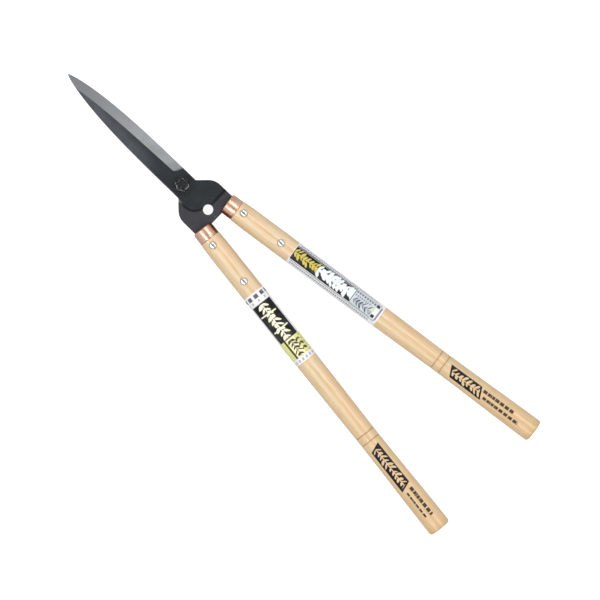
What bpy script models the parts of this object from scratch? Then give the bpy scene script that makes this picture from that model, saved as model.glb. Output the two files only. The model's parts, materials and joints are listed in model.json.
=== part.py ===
"""Hedge shears, closed: two forged halves crossed on one pivot bolt, each on a turned wooden handle.

+X runs from the handle butts to the blade tips, +Y is the left handle's side and +Z the nut's side.
The origin is at the middle of the tool's length and width, at its lowest point.

Each half is modelled in a frame of its own: the origin is on the pivot axis, halfway between the
two blades, x runs ahead along the blade and z points away from the other half. The right half stands
in that frame as it is. The left half is the same forging turned over, about the x axis.
"""

import math

import bmesh
import bpy
from mathutils import Matrix, Vector

MM = 0.001
GAP = 0.3 * MM                        # clearance left between neighbouring pieces

# Blades, seen along the pivot axis
BLADE_LENGTH = 180.5 * MM             # pivot axis to tip
BLADE_HALF_WIDTH = 14.3 * MM          # centre line to cutting edge, beside the pivot
SPINE_INSET = 0.9 * MM                # a spine lies this far inside the other blade's edge
TAPER_POWER = 3.05                    # how late the blade starts to narrow
TIP_POWER = 0.75                      # how round the narrowing is at the tip
BLADE_STATIONS = 26
TIP_CROWDING = 1.6                    # how much closer together the stations are at the tip

# Forging thickness, measured from the plane between the blades
FACE_Z = GAP / 2                      # the flat face that slides on the other blade
PLATE_TOP = 5.65 * MM                 # outer face of the shoulder plate and the blade's root
TIP_TOP = 2.6 * MM                    # outer face at the tip
TAPER_START = 15 * MM
NECK_HALF = 3.2 * MM                  # the neck is centred on the plane between the blades

# The ground bevel along the cutting edge
EDGE_TOP = 0.55 * MM
BEVEL_START = 14.7 * MM               # ahead of the pivot, at the edge
BEVEL_SLANT = 3.9 * MM                # how much further ahead it starts at the grind line
BEVEL_WIDTH = 10.3 * MM
BEVEL_SWELL = 1.4 * MM                # the grind is that much wider at mid blade
BEVEL_STATIONS = 24

# Shoulder, nose and neck, seen along the pivot axis
FLANK_START = 7.0 * MM                # behind the pivot, where the flank leaves the blade
FLANK_RADIUS = 19.1 * MM
FLANK_CENTRE = Vector((-30.5, -10.7)) * MM
NOSE_RADIUS = 14.8 * MM
NOSE_CENTRE = Vector((-19.2, 0.4)) * MM
SHOULDER_FRONT = 10.0 * MM            # the shoulder stays this far behind the pivot to swing clear
SHOULDER_CLEAR = 17.7 * MM
STEP_TOP = 36.7 * MM                  # the plate steps down to the neck between these two
STEP_FOOT = 40.1 * MM
HOLE_CENTRE = 39.9 * MM               # round hole between the necks, behind the pivot
HOLE_RADIUS = 5.9 * MM
CROTCH = 53.7 * MM                    # rear end of the face where the two necks stop each other
NECK_OUTSIDE = 29.9 * MM              # the neck's outer corner, from the centre line

# Handles: a straight axis that leaves the neck at an angle
HANDLE_ANGLE = math.radians(7.45)
FERRULE_AT = Vector((-50.0, -20.05)) * MM
HANDLE_END = 431.7 * MM               # all handle lengths are from the ferrule's front face
BUTT_ROUND = 3.0 * MM
SHOULDER_AT = 14.1 * MM + GAP
HANDLE_DIAMETERS = (                  # length along the handle and diameter there, in millimetres
    (16, 25.6), (30, 26.5), (60, 26.7), (110, 26.7), (190, 26.3), (245, 25.4),
    (300, 24.5), (340, 25.0), (380, 26.2), (415, 26.9), (428.7, 27.0),
)
GROOVES = (295 * MM, 305 * MM)
GROOVE_DEPTH = 0.5 * MM
GROOVE_HALF_WIDTH = 0.7 * MM
SHOULDER_EASE = 0.8 * MM              # the wood is eased by this where it meets the ferrule
HANDLE_STEPS = 32

# Ferrules
FERRULE_LENGTH = 14.1 * MM
FERRULE_RADIUS = 12.2 * MM
FERRULE_FLARE = 0.2 * MM              # wider at the rear end
FERRULE_BORE = 11.1 * MM
FERRULE_LIP = 7.3 * MM                # radius of the tang's opening
FERRULE_SHEET = 1.3 * MM
FERRULE_BEND = 2.0 * MM               # radius of its front edge
SPIGOT_RADIUS = FERRULE_BORE - GAP
SPIGOT_START = FERRULE_SHEET + GAP

# Tangs
TANG_LENGTH = 95 * MM
TANG_ROOT = 8 * MM                    # length buried in the neck
TANG_WIDTHS = (12.0 * MM, 7.0 * MM)   # at the neck and at the end
TANG_HEIGHTS = (6.0 * MM, 4.5 * MM)

# Rivets
RIVET_PLACES = {                      # along the handle, and from its axis towards the outside
    "front": (22.6 * MM, 2.2 * MM),
    "rear": (76.2 * MM, 0.0),
}
RIVET_SHANK = 2.0 * MM
RIVET_HEAD = 4.3 * MM
RIVET_DOME = 2.2 * MM
RIVET_SEAT = 0.75 * MM                # the head is drawn this far into the wood
TAIL_SEAT = 3.3 * MM                  # the counterbore on the hidden side is this deep
TAIL_RADIUS = 3.3 * MM
TAIL_HEIGHT = 1.2 * MM
BURR_RADIUS = 4.5 * MM
BURR_HEIGHT = 0.8 * MM
RIVET_STEPS = 20

# Pivot
BOLT_RADIUS = 4.0 * MM
BOLT_HEAD_RADIUS = 9.5 * MM
BOLT_HEAD_HEIGHT = 4.2 * MM
BOLT_SQUARE = 8.2 * MM                # side of the square neck, which holds it in the lower blade
BOLT_SQUARE_HEIGHT = 4.0 * MM
BOLT_END_PROUD = 1.1 * MM
WASHER_RADIUS = 9.6 * MM
WASHER_HEIGHT = 1.2 * MM
SPRING_RADIUS = 6.7 * MM
SPRING_HEIGHT = 1.3 * MM
SPRING_SLOT = 1.2 * MM
SPRING_SLOT_TILT = math.radians(25)
NUT_FLATS = 14.0 * MM                 # across the flats
NUT_HEIGHT = 6.0 * MM
NUT_CHAMFER = 0.9 * MM                # depth of the chamfer at the corners
NUT_CROWN = 5.3 * MM                  # radius that the chamfer's cone would have just above the nut

# Labels
LABEL_START = 92.7 * MM
LABEL_ENDS = {"left": 188.7 * MM, "right": 214.7 * MM}
LABEL_THICKNESS = 0.35 * MM
LABEL_WRAP = math.radians(290)        # its two edges stop short of each other underneath
LABEL_STEPS = 28

MODEL_NAME = "hedge_shears"
FAR = 60 * MM                         # reach of a cutter past the metal


def handle_radius(along):
    """Radius of the bare handle at a length from the ferrule's front: a smooth line through the list."""
    points = [(s * MM, d * MM / 2) for s, d in HANDLE_DIAMETERS]
    along = min(max(along, points[0][0]), points[-1][0])
    for i in range(len(points) - 1):
        if along <= points[i + 1][0]:
            break
    (s1, r1), (s2, r2) = points[i], points[i + 1]
    s0, r0 = points[max(i - 1, 0)]
    s3, r3 = points[min(i + 2, len(points) - 1)]
    slope1 = (r2 - r0) / (s2 - s0)
    slope2 = (r3 - r1) / (s3 - s1)
    t = (along - s1) / (s2 - s1)
    hermite = (2 * t**3 - 3 * t**2 + 1) * r1 + (3 * t**2 - 2 * t**3) * r2
    return hermite + ((t**3 - 2 * t**2 + t) * slope1 + (t**3 - t**2) * slope2) * (s2 - s1)


HANDLE_RADIUS = max(handle_radius(s * MM) for s, _ in HANDLE_DIAMETERS)
BUTT_REACH = (-FERRULE_AT.x + HANDLE_END * math.cos(HANDLE_ANGLE)
              + (HANDLE_RADIUS - BUTT_ROUND) * math.sin(HANDLE_ANGLE))
PIVOT = Vector(((BUTT_REACH - BLADE_LENGTH) / 2, 0, HANDLE_RADIUS))


# ---------------------------------------------------------------- scene, materials, small helpers

for old in list(bpy.data.objects):
    bpy.data.objects.remove(old, do_unlink=True)

parts = bpy.data.collections.new(MODEL_NAME)
cutters = bpy.data.collections.new(MODEL_NAME + "_cutters")
bpy.context.scene.collection.children.link(parts)
bpy.context.scene.collection.children.link(cutters)


def material(name, colour, roughness, metallic):
    made = bpy.data.materials.new(name)
    made.use_nodes = True
    shader = made.node_tree.nodes["Principled BSDF"]
    shader.inputs["Base Color"].default_value = (*colour, 1)
    shader.inputs["Roughness"].default_value = roughness
    shader.inputs["Metallic"].default_value = metallic
    return made


FORGED = material("forged_steel", (0.045, 0.048, 0.055), 0.5, 0.6)
COPPER = material("coppered_steel", (0.72, 0.42, 0.28), 0.3, 1.0)
WOOD = material("oak", (0.78, 0.6, 0.36), 0.5, 0.0)
RIVET_METAL = material("bright_steel", (0.62, 0.62, 0.6), 0.35, 1.0)
BLACKENED = material("blackened_steel", (0.06, 0.06, 0.06), 0.4, 0.8)
LABEL_FILM = material("printed_label", (0.08, 0.08, 0.075), 0.4, 0.0)


def add(name, mesh, collection, finish=None, parent=None, matrix=None):
    """Link a mesh as an object, placed in its parent's frame."""
    made = bpy.data.objects.new(name, mesh)
    collection.objects.link(made)
    if finish:
        mesh.materials.clear()
        mesh.materials.append(finish)
    if parent:
        made.parent = parent
    made.matrix_local = matrix or Matrix.Identity(4)
    if collection is cutters:
        made.hide_render = True
        made.display_type = "WIRE"
    return made


def slab_mesh(name, outline, low, high):
    """Mesh of a flat outline in x and y, filled between two heights."""
    curve = bpy.data.curves.new(name, "CURVE")
    curve.dimensions = "2D"
    curve.fill_mode = "BOTH"
    curve.extrude = (high - low) / 2
    spline = curve.splines.new("POLY")
    spline.points.add(len(outline) - 1)
    for point, (x, y) in zip(spline.points, outline):
        point.co = (x, y, 0, 1)
    spline.use_cyclic_u = True
    drawn = bpy.data.objects.new(name, curve)
    cutters.objects.link(drawn)
    seen = drawn.evaluated_get(bpy.context.evaluated_depsgraph_get())
    mesh = bpy.data.meshes.new_from_object(seen)
    bpy.data.objects.remove(drawn, do_unlink=True)
    bpy.data.curves.remove(curve)
    work = bmesh.new()
    work.from_mesh(mesh)
    bmesh.ops.remove_doubles(work, verts=work.verts, dist=0.00001)
    bmesh.ops.recalc_face_normals(work, faces=work.faces)
    bmesh.ops.translate(work, verts=work.verts, vec=(0, 0, (high + low) / 2))
    work.to_mesh(mesh)
    work.free()
    return mesh


def round_bar_mesh(name, radius, low, high, sides=32):
    work = bmesh.new()
    bmesh.ops.create_cone(work, cap_ends=True, segments=sides, radius1=radius, radius2=radius,
                          depth=high - low, matrix=Matrix.Translation((0, 0, (high + low) / 2)))
    mesh = bpy.data.meshes.new(name)
    work.to_mesh(mesh)
    work.free()
    return mesh


def block_mesh(name, low, high):
    low, high = Vector(low), Vector(high)
    work = bmesh.new()
    bmesh.ops.create_cube(work, size=1)
    bmesh.ops.scale(work, verts=work.verts, vec=high - low)
    bmesh.ops.translate(work, verts=work.verts, vec=(high + low) / 2)
    mesh = bpy.data.meshes.new(name)
    work.to_mesh(mesh)
    work.free()
    return mesh


def profile_mesh(name, profile, closed=False, turn=0.0):
    """Edges of a half section, (radius, height) from the top down its outer side."""
    verts = [(r * math.cos(turn), r * math.sin(turn), z) for r, z in profile]
    edges = [(i, i + 1) for i in range(len(verts) - 1)]
    if closed:
        edges.append((len(verts) - 1, 0))
    mesh = bpy.data.meshes.new(name)
    mesh.from_pydata(verts, edges, [])
    return mesh


def turn_solid(piece, steps, sweep=2 * math.pi):
    screw = piece.modifiers.new("turn", "SCREW")
    screw.axis = "Z"
    screw.angle = sweep
    screw.steps = steps
    screw.render_steps = steps
    screw.use_merge_vertices = True
    screw.merge_threshold = 0.00001
    screw.use_smooth_shade = True


def cut(piece, tool, operation="DIFFERENCE"):
    boolean = piece.modifiers.new(tool.name, "BOOLEAN")
    boolean.operation = operation
    boolean.solver = "EXACT"
    boolean.object = tool


def arc(centre, radius, start, end, count):
    """Points on a circle between two angles in degrees."""
    angles = (math.radians(start + (end - start) * i / (count - 1)) for i in range(count))
    return [(centre[0] + radius * math.cos(a), centre[1] + radius * math.sin(a)) for a in angles]


# ---------------------------------------------------------------- forgings

def narrowing(x):
    """Share of the full half width that is left at x."""
    return (1 - min(max(x, 0) / BLADE_LENGTH, 1) ** TAPER_POWER) ** TIP_POWER


def outer_face(x):
    """Height of the blade's outer face at x."""
    fall = (PLATE_TOP - TIP_TOP) / (BLADE_LENGTH - TAPER_START)
    return PLATE_TOP - fall * (x - TAPER_START)


def along_handle(along, across=0.0):
    """Point on the right handle's axis, or beside it towards the outside, in the half's x and y."""
    ahead = Vector((-math.cos(HANDLE_ANGLE), -math.sin(HANDLE_ANGLE)))
    outside = Vector((math.sin(HANDLE_ANGLE), -math.cos(HANDLE_ANGLE)))
    return FERRULE_AT + ahead * along + outside * across


def forging_outline():
    """Blade, shoulder and neck seen along the pivot axis."""
    ahead = [BLADE_LENGTH * (1 - (1 - i / BLADE_STATIONS) ** TIP_CROWDING)
             for i in range(BLADE_STATIONS + 1)]
    edge = [(x, -BLADE_HALF_WIDTH * narrowing(x)) for x in ahead]
    spine = [(x, (BLADE_HALF_WIDTH - SPINE_INSET) * narrowing(x)) for x in ahead[:-1]]
    nose = arc(NOSE_CENTRE, NOSE_RADIUS, 82, 178, 15)
    hole = arc((-HOLE_CENTRE, 0), HOLE_RADIUS, 0, -178.5, 15)
    seat = along_handle(-GAP, -FERRULE_RADIUS - GAP)
    corner = along_handle(-GAP, 0)
    slope = math.tan(HANDLE_ANGLE)
    crotch = [(-CROTCH, -FACE_Z), (-CROTCH, seat.y - (CROTCH + seat.x) * slope), tuple(seat)]
    outside = [(corner.x + (NECK_OUTSIDE + corner.y) * slope, -NECK_OUTSIDE)]
    flank = arc(FLANK_CENTRE, FLANK_RADIUS, 270, 315, 8)
    root = [(-FLANK_START, -BLADE_HALF_WIDTH)]
    return nose + hole + crotch + outside + flank + root + edge + spine[::-1]


def other_half_outline():
    """Room for the other half below the sliding face, all it sweeps while the shears open."""
    centre = (NOSE_CENTRE.x, -NOSE_CENTRE.y)
    nose = arc(centre, NOSE_RADIUS + GAP, 270, 180, 14)
    ahead = BLADE_LENGTH + FAR
    return [(ahead, FAR), (ahead, -FAR), (-SHOULDER_FRONT, -FAR), (-SHOULDER_FRONT, -SHOULDER_CLEAR),
            *nose, (-HOLE_CENTRE, FACE_Z), (-HOLE_CENTRE, FAR)]


def bevel_cutter_mesh(name):
    """Wedge that grinds the bevel: a loft of triangles whose long side lies in the ground face."""
    reach = 0.35                      # the wedge goes on past edge and grind line by this share
    end = BLADE_LENGTH + 2 * BEVEL_SLANT
    work = bmesh.new()
    rings = []
    for i in range(BEVEL_STATIONS + 1):
        x = BEVEL_START + (end - BEVEL_START) * i / BEVEL_STATIONS
        share = min((x - BEVEL_START) / (BLADE_LENGTH - BEVEL_START), 1)
        width = BEVEL_WIDTH + BEVEL_SWELL * math.sin(math.pi * share)
        edge = Vector((x, -BLADE_HALF_WIDTH * narrowing(x), EDGE_TOP))
        grind = Vector((x + BEVEL_SLANT, edge.y + width, outer_face(x)))
        low = edge + (edge - grind) * reach
        high = grind + (grind - edge) * reach
        top = Vector((low.x, low.y, high.z))
        rings.append([work.verts.new(p) for p in (low, high, top)])
    for ring, ahead in zip(rings, rings[1:]):
        for j in range(3):
            k = (j + 1) % 3
            work.faces.new((ring[j], ring[k], ahead[k], ahead[j]))
    work.faces.new(rings[0])
    work.faces.new(rings[-1])
    bmesh.ops.recalc_face_normals(work, faces=work.faces)
    mesh = bpy.data.meshes.new(name)
    work.to_mesh(mesh)
    work.free()
    return mesh


def tang_mesh(name, grow):
    """Tapered bar along z, from inside the neck to its end, or the room for it in the wood."""
    bar = block_mesh(name, (-0.5, -0.5, -TANG_ROOT), (0.5, 0.5, TANG_LENGTH + grow))
    for vert in bar.vertices:
        share = 1 if vert.co.z > 0 else 0
        vert.co.x *= TANG_HEIGHTS[share] + 2 * grow
        vert.co.y *= TANG_WIDTHS[share] + 2 * grow
    return bar


def handle_matrix():
    """Frame of a handle in its half: local z along the handle from the ferrule, local x upwards."""
    up = Vector((0, 0, 1))
    away = Vector((-math.cos(HANDLE_ANGLE), -math.sin(HANDLE_ANGLE), 0))
    side = away.cross(up)
    axes = Matrix((up, side, away)).transposed().to_4x4()
    return Matrix.Translation((*FERRULE_AT, 0)) @ axes


def rivet_matrix(end, head_up):
    """Frame of a rivet in its half: local z points to its head."""
    turn = Matrix.Rotation(0 if head_up else math.pi, 4, "X")
    return Matrix.Translation((*along_handle(*RIVET_PLACES[end]), 0)) @ turn


def wood_above(end):
    """Height of the wood's surface over the handle's axis, where a rivet comes out."""
    along, across = RIVET_PLACES[end]
    return math.sqrt(handle_radius(along)**2 - across**2)


def step_outline():
    """What is taken off the plate behind its step, in x and z."""
    fall = (PLATE_TOP - NECK_HALF) / (STEP_FOOT - STEP_TOP)
    start = -STEP_TOP + MM
    behind = -CROTCH - FAR
    return [(start, PLATE_TOP + MM * fall), (-STEP_FOOT, NECK_HALF), (behind, NECK_HALF),
            (behind, FAR), (start, FAR)]


def taper_outline():
    """What is taken off the blade towards its tip, in x and z."""
    start = TAPER_START - 10 * MM
    end = BLADE_LENGTH + FAR
    return [(start, outer_face(start)), (end, outer_face(end)), (end, FAR), (start, FAR)]


def forging(name, parent, square_neck):
    """One forged half: a slab, then room for the other half, step, taper, bevel, holes and tang."""
    piece = add(name, slab_mesh(name, forging_outline(), -NECK_HALF, PLATE_TOP), parts, FORGED, parent)
    sideways = Matrix.Rotation(math.pi / 2, 4, "X")
    tools = [
        ("other_half", slab_mesh("other_half", other_half_outline(), -FAR, FACE_Z), None),
        ("step", slab_mesh("step", step_outline(), -FAR, FAR), sideways),
        ("taper", slab_mesh("taper", taper_outline(), -FAR, FAR), sideways),
        ("bevel", bevel_cutter_mesh("bevel"), None),
        ("pivot", round_bar_mesh("pivot", BOLT_RADIUS + GAP, -FAR, FAR), None),
    ]
    if square_neck:
        half = BOLT_SQUARE / 2 + GAP
        floor = PLATE_TOP - BOLT_SQUARE_HEIGHT - GAP
        tools.append(("square", block_mesh("square", (-half, -half, floor), (half, half, FAR)), None))
    for tool, mesh, matrix in tools:
        cut(piece, add(name + "_" + tool, mesh, cutters, None, parent, matrix))
    tang = add(name + "_tang", tang_mesh("tang", 0), cutters, None, parent, handle_matrix())
    cut(piece, tang, "UNION")
    for end in RIVET_PLACES:
        bore = round_bar_mesh("tang_bore", RIVET_SHANK + GAP, -FAR, FAR, RIVET_STEPS)
        cut(piece, add(name + "_bore_" + end, bore, cutters, None, parent, rivet_matrix(end, True)))


# ---------------------------------------------------------------- handles and what is on them

def handle(side, parent, head_up):
    """Turned wooden handle with a spigot for the ferrule, a bore for the tang and two rivet holes."""
    butt = [(0, HANDLE_END)]
    butt += [(HANDLE_RADIUS - BUTT_ROUND * (1 - math.sin(a)), HANDLE_END - BUTT_ROUND * (1 - math.cos(a)))
             for a in (math.radians(step) for step in (0, 22.5, 45, 67.5))]
    heights = [s * MM for s, _ in reversed(HANDLE_DIAMETERS)]
    body = [(handle_radius(s), s) for s in heights]
    for groove in GROOVES:
        for shift, depth in ((1, 0), (0, GROOVE_DEPTH), (-1, 0)):
            at = groove + shift * GROOVE_HALF_WIDTH
            body.append((handle_radius(at) - depth, at))
    body.sort(key=lambda point: -point[1])
    front = [(handle_radius(0) - SHOULDER_EASE, SHOULDER_AT), (SPIGOT_RADIUS, SHOULDER_AT),
             (SPIGOT_RADIUS, SPIGOT_START), (0, SPIGOT_START)]
    name = side + "_handle"
    piece = add(name, profile_mesh(name, butt + body + front), parts, WOOD, parent, handle_matrix())
    turn_solid(piece, HANDLE_STEPS)
    room = add(name + "_tang_room", tang_mesh("tang_room", GAP), cutters, None, parent, handle_matrix())
    cut(piece, room)
    for end in RIVET_PLACES:
        wood = wood_above(end)
        seat = wood - RIVET_SEAT
        tail = TAIL_SEAT - wood
        bore = [(0, FAR), (RIVET_HEAD + GAP, FAR), (RIVET_HEAD + GAP, seat), (RIVET_SHANK + GAP, seat),
                (RIVET_SHANK + GAP, tail), (BURR_RADIUS + GAP, tail), (BURR_RADIUS + GAP, -FAR), (0, -FAR)]
        tool = add(name + "_bore_" + end, profile_mesh("bore", bore), cutters, None, parent,
                   rivet_matrix(end, head_up))
        turn_solid(tool, RIVET_STEPS)
        cut(piece, tool)


def ferrule(side, parent):
    """Pressed metal cap on the handle's front end, open in the middle for the tang."""
    rear = FERRULE_RADIUS + FERRULE_FLARE
    profile = [(FERRULE_BORE, FERRULE_LENGTH), (rear, FERRULE_LENGTH), (FERRULE_RADIUS, FERRULE_BEND)]
    profile += [(FERRULE_RADIUS - FERRULE_BEND * (1 - math.cos(a)), FERRULE_BEND * (1 - math.sin(a)))
                for a in (math.radians(step) for step in (30, 60, 90))]
    profile += [(FERRULE_LIP, 0), (FERRULE_LIP, FERRULE_SHEET), (FERRULE_BORE, FERRULE_SHEET)]
    name = side + "_ferrule"
    piece = add(name, profile_mesh(name, profile, closed=True), parts, COPPER, parent, handle_matrix())
    turn_solid(piece, HANDLE_STEPS)


def dome(radius, height, base, count=5):
    """Half section of a dome from its top down to its rim."""
    angles = (math.radians(90 - 90 * i / count) for i in range(count + 1))
    return [(radius * math.cos(a), base + height * math.sin(a)) for a in angles]


def rivet(side, end, parent, head_up):
    """Domed rivet through the wood and the tang, peened over a burr on the hidden side."""
    wood = wood_above(end)
    under_head = wood - RIVET_SEAT + GAP
    burr_top = TAIL_SEAT - wood - GAP
    tail_top = burr_top - BURR_HEIGHT - GAP
    head = dome(RIVET_HEAD, RIVET_DOME, under_head)
    tail = [(r, 2 * tail_top - z) for r, z in reversed(dome(TAIL_RADIUS, TAIL_HEIGHT, tail_top))]
    profile = head + [(RIVET_SHANK, under_head), (RIVET_SHANK, tail_top)] + tail
    name = side + "_" + end + "_rivet"
    frame = rivet_matrix(end, head_up)
    piece = add(name, profile_mesh(name, profile), parts, RIVET_METAL, parent, frame)
    turn_solid(piece, RIVET_STEPS)
    ring = [(RIVET_SHANK + GAP, burr_top), (BURR_RADIUS, burr_top), (BURR_RADIUS, burr_top - BURR_HEIGHT),
            (RIVET_SHANK + GAP, burr_top - BURR_HEIGHT)]
    washer = add(name + "_washer", profile_mesh(name + "_washer", ring, closed=True), parts,
                 RIVET_METAL, parent, frame)
    turn_solid(washer, RIVET_STEPS)


def label(side, parent, up):
    """Printed film wrapped round the handle, a shell whose two edges stop short underneath."""
    start, end = LABEL_START, LABEL_ENDS[side]
    count = 5
    heights = [end + (start - end) * i / (count - 1) for i in range(count)]
    profile = [(handle_radius(s) + GAP, s) for s in heights]
    name = side + "_label"
    first = (0 if up else math.pi) - LABEL_WRAP / 2
    piece = add(name, profile_mesh(name, profile, turn=first), parts, LABEL_FILM, parent, handle_matrix())
    turn_solid(piece, LABEL_STEPS, LABEL_WRAP)
    shell = piece.modifiers.new("film", "SOLIDIFY")
    shell.thickness = LABEL_THICKNESS
    shell.offset = 1


# ---------------------------------------------------------------- pivot

def pivot_hardware(parent):
    """Bolt, washers and nut. The bolt's square neck and its head are on the lower blade's side."""
    top = PLATE_TOP + GAP
    spring_at = top + WASHER_HEIGHT + GAP
    nut_at = spring_at + SPRING_HEIGHT + GAP
    bolt_top = nut_at + NUT_HEIGHT + BOLT_END_PROUD
    chamfer = 0.6 * MM
    rim = 1.2 * MM
    head = [(r, -top - rim - z) for r, z in reversed(dome(BOLT_HEAD_RADIUS, BOLT_HEAD_HEIGHT - rim, 0))]
    profile = [(0, bolt_top), (BOLT_RADIUS - chamfer, bolt_top), (BOLT_RADIUS, bolt_top - chamfer),
               (BOLT_RADIUS, -top), (BOLT_HEAD_RADIUS, -top)] + head
    bolt = add("pivot_bolt", profile_mesh("pivot_bolt", profile), parts, BLACKENED, parent)
    turn_solid(bolt, 32)
    half = BOLT_SQUARE / 2
    square = block_mesh("bolt_square", (-half, -half, -top - rim / 2),
                        (half, half, -PLATE_TOP + BOLT_SQUARE_HEIGHT))
    cut(bolt, add("pivot_bolt_square", square, cutters, None, parent), "UNION")

    hole = BOLT_RADIUS + GAP
    for name, radius, base, height in (("pivot_washer", WASHER_RADIUS, top, WASHER_HEIGHT),
                                       ("pivot_spring_washer", SPRING_RADIUS, spring_at, SPRING_HEIGHT)):
        ring = [(hole, base + height), (radius, base + height), (radius, base), (hole, base)]
        turn_solid(add(name, profile_mesh(name, ring, closed=True), parts, BLACKENED, parent), 32)
    slot = block_mesh("slot", (0, -SPRING_SLOT / 2, -SPRING_RADIUS),
                      (2 * SPRING_RADIUS, SPRING_SLOT / 2, SPRING_RADIUS))
    tilt = Matrix.Translation((0, 0, spring_at)) @ Matrix.Rotation(SPRING_SLOT_TILT, 4, "X")
    cut(parts.objects["pivot_spring_washer"], add("spring_slot", slot, cutters, None, parent, tilt))

    corner = NUT_FLATS / 2 / math.cos(math.pi / 6)
    edges = [(corner * math.cos(math.radians(a)), corner * math.sin(math.radians(a)))
             for a in range(30, 390, 60)]
    nut = add("pivot_nut", slab_mesh("pivot_nut", edges, nut_at, nut_at + NUT_HEIGHT), parts, BLACKENED,
              parent)
    cut(nut, add("nut_bore", round_bar_mesh("nut_bore", hole, -FAR, FAR), cutters, None, parent))
    nut_top = nut_at + NUT_HEIGHT
    cone = [(0, nut_top + MM), (NUT_CROWN, nut_top + MM), (corner + MM, nut_top - NUT_CHAMFER),
            (corner + MM, nut_at - MM), (0, nut_at - MM)]
    rounding = add("nut_chamfer", profile_mesh("nut_chamfer", cone), cutters, None, parent)
    turn_solid(rounding, 48)
    cut(nut, rounding, "INTERSECT")


def half_frame(name, matrix):
    frame = bpy.data.objects.new(name, None)
    parts.objects.link(frame)
    frame.matrix_world = matrix
    return frame


def build():
    upright = Matrix.Translation(PIVOT)
    turned_over = upright @ Matrix.Rotation(math.pi, 4, "X")
    frames = {"right": half_frame("right_half", upright), "left": half_frame("left_half", turned_over)}
    forging("upper_blade", frames["right"], square_neck=False)
    forging("lower_blade", frames["left"], square_neck=True)
    for side, frame in frames.items():
        head_up = side == "right"
        ferrule(side, frame)
        handle(side, frame, head_up)
        label(side, frame, head_up)
        for end in RIVET_PLACES:
            rivet(side, end, frame, head_up)
    pivot = half_frame("pivot", upright)
    pivot_hardware(pivot)


build()
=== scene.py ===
# %% [markdown]
# # A pair of hedge shears
# This lesson dresses a finished model of hedge shears. The sizes, the joint and the collision shapes are
# settled already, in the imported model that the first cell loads. Here each piece is made once more, as fine
# as it looks in the hand: two forged blades, two turned oak handles, copper ferrules, rivets, printed films
# and the bolt that holds the halves together.
#
# The shears lie closed on the floor, blade tips towards +X, the nut on top.

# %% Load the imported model
import json
import math

import bmesh
import bpy
from mathutils import Matrix, Vector

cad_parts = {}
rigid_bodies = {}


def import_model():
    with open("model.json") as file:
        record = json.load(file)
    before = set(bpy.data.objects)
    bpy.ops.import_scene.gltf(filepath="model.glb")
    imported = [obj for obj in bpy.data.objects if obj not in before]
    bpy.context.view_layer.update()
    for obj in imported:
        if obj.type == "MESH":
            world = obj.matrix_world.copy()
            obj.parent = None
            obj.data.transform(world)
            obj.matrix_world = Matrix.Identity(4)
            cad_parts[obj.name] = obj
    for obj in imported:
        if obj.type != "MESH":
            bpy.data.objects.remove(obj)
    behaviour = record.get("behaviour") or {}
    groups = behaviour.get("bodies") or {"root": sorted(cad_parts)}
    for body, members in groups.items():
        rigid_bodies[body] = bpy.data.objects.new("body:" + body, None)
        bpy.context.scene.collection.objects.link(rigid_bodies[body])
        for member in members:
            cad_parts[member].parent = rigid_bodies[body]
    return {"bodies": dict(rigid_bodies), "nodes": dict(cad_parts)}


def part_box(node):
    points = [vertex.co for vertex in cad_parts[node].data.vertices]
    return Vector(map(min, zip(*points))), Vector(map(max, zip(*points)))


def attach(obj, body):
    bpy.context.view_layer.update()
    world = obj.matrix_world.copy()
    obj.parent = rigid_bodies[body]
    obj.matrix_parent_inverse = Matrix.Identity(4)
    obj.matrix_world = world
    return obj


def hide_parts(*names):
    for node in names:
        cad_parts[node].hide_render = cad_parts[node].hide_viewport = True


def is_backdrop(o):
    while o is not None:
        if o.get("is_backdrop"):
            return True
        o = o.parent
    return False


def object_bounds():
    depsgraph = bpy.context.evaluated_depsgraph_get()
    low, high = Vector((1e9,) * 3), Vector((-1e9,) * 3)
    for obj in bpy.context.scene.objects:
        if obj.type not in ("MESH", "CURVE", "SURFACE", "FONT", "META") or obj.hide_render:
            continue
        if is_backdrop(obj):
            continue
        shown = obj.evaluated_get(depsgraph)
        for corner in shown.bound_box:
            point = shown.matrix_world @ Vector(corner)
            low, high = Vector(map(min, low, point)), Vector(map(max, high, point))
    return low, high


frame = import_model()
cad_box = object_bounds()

MM = 0.001
print("bodies:", ", ".join(sorted(frame["bodies"])), "with", len(frame["nodes"]), "nodes")

# %% [markdown]
# ## Where things are
# Each half of the shears is the same forging. The right half stands in a frame of its own, with the origin
# on the bolt's axis, in the plane where the two blades slide, x ahead along the blade and z up. The left half
# is the same thing turned over about x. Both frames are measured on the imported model, so that nothing here
# has to be fitted by eye.

# %% Frames of the two halves
BODY = {"right": "right_half", "left": "left_half"}


def box_middle(node):
    low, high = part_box(node)
    return (low + high) / 2


pivot = box_middle("pivot_washer")
pivot.z = (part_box("upper_blade")[1].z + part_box("lower_blade")[0].z) / 2
HALF = {"right": Matrix.Translation(pivot)}
HALF["left"] = HALF["right"] @ Matrix.Rotation(math.pi, 4, "X")
print("pivot at", [round(v / MM, 2) for v in pivot], "mm")

# %% [markdown]
# A handle leaves the neck at an angle. Its frame has z along the handle, starting at the ferrule's front
# face, and x up, for both handles. A length along the wood is then simply z, and the angle round the wood is
# the angle between x and y. The wood grain and the printed films use the same two numbers.

# %% Frames of the two handles
HANDLE_ANGLE = math.radians(7.45)
FERRULE_AT = (-50 * MM, 20.05 * MM)       # from the pivot: ahead, and out to the side


def handle_frame(side):
    out = 1 if side == "left" else -1
    away = Vector((-math.cos(HANDLE_ANGLE), out * math.sin(HANDLE_ANGLE), 0))
    up = Vector((0, 0, 1))
    axes = Matrix((up, away.cross(up), away)).transposed().to_4x4()
    place = pivot + Vector((FERRULE_AT[0], out * FERRULE_AT[1], 0))
    return Matrix.Translation(place) @ axes


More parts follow.
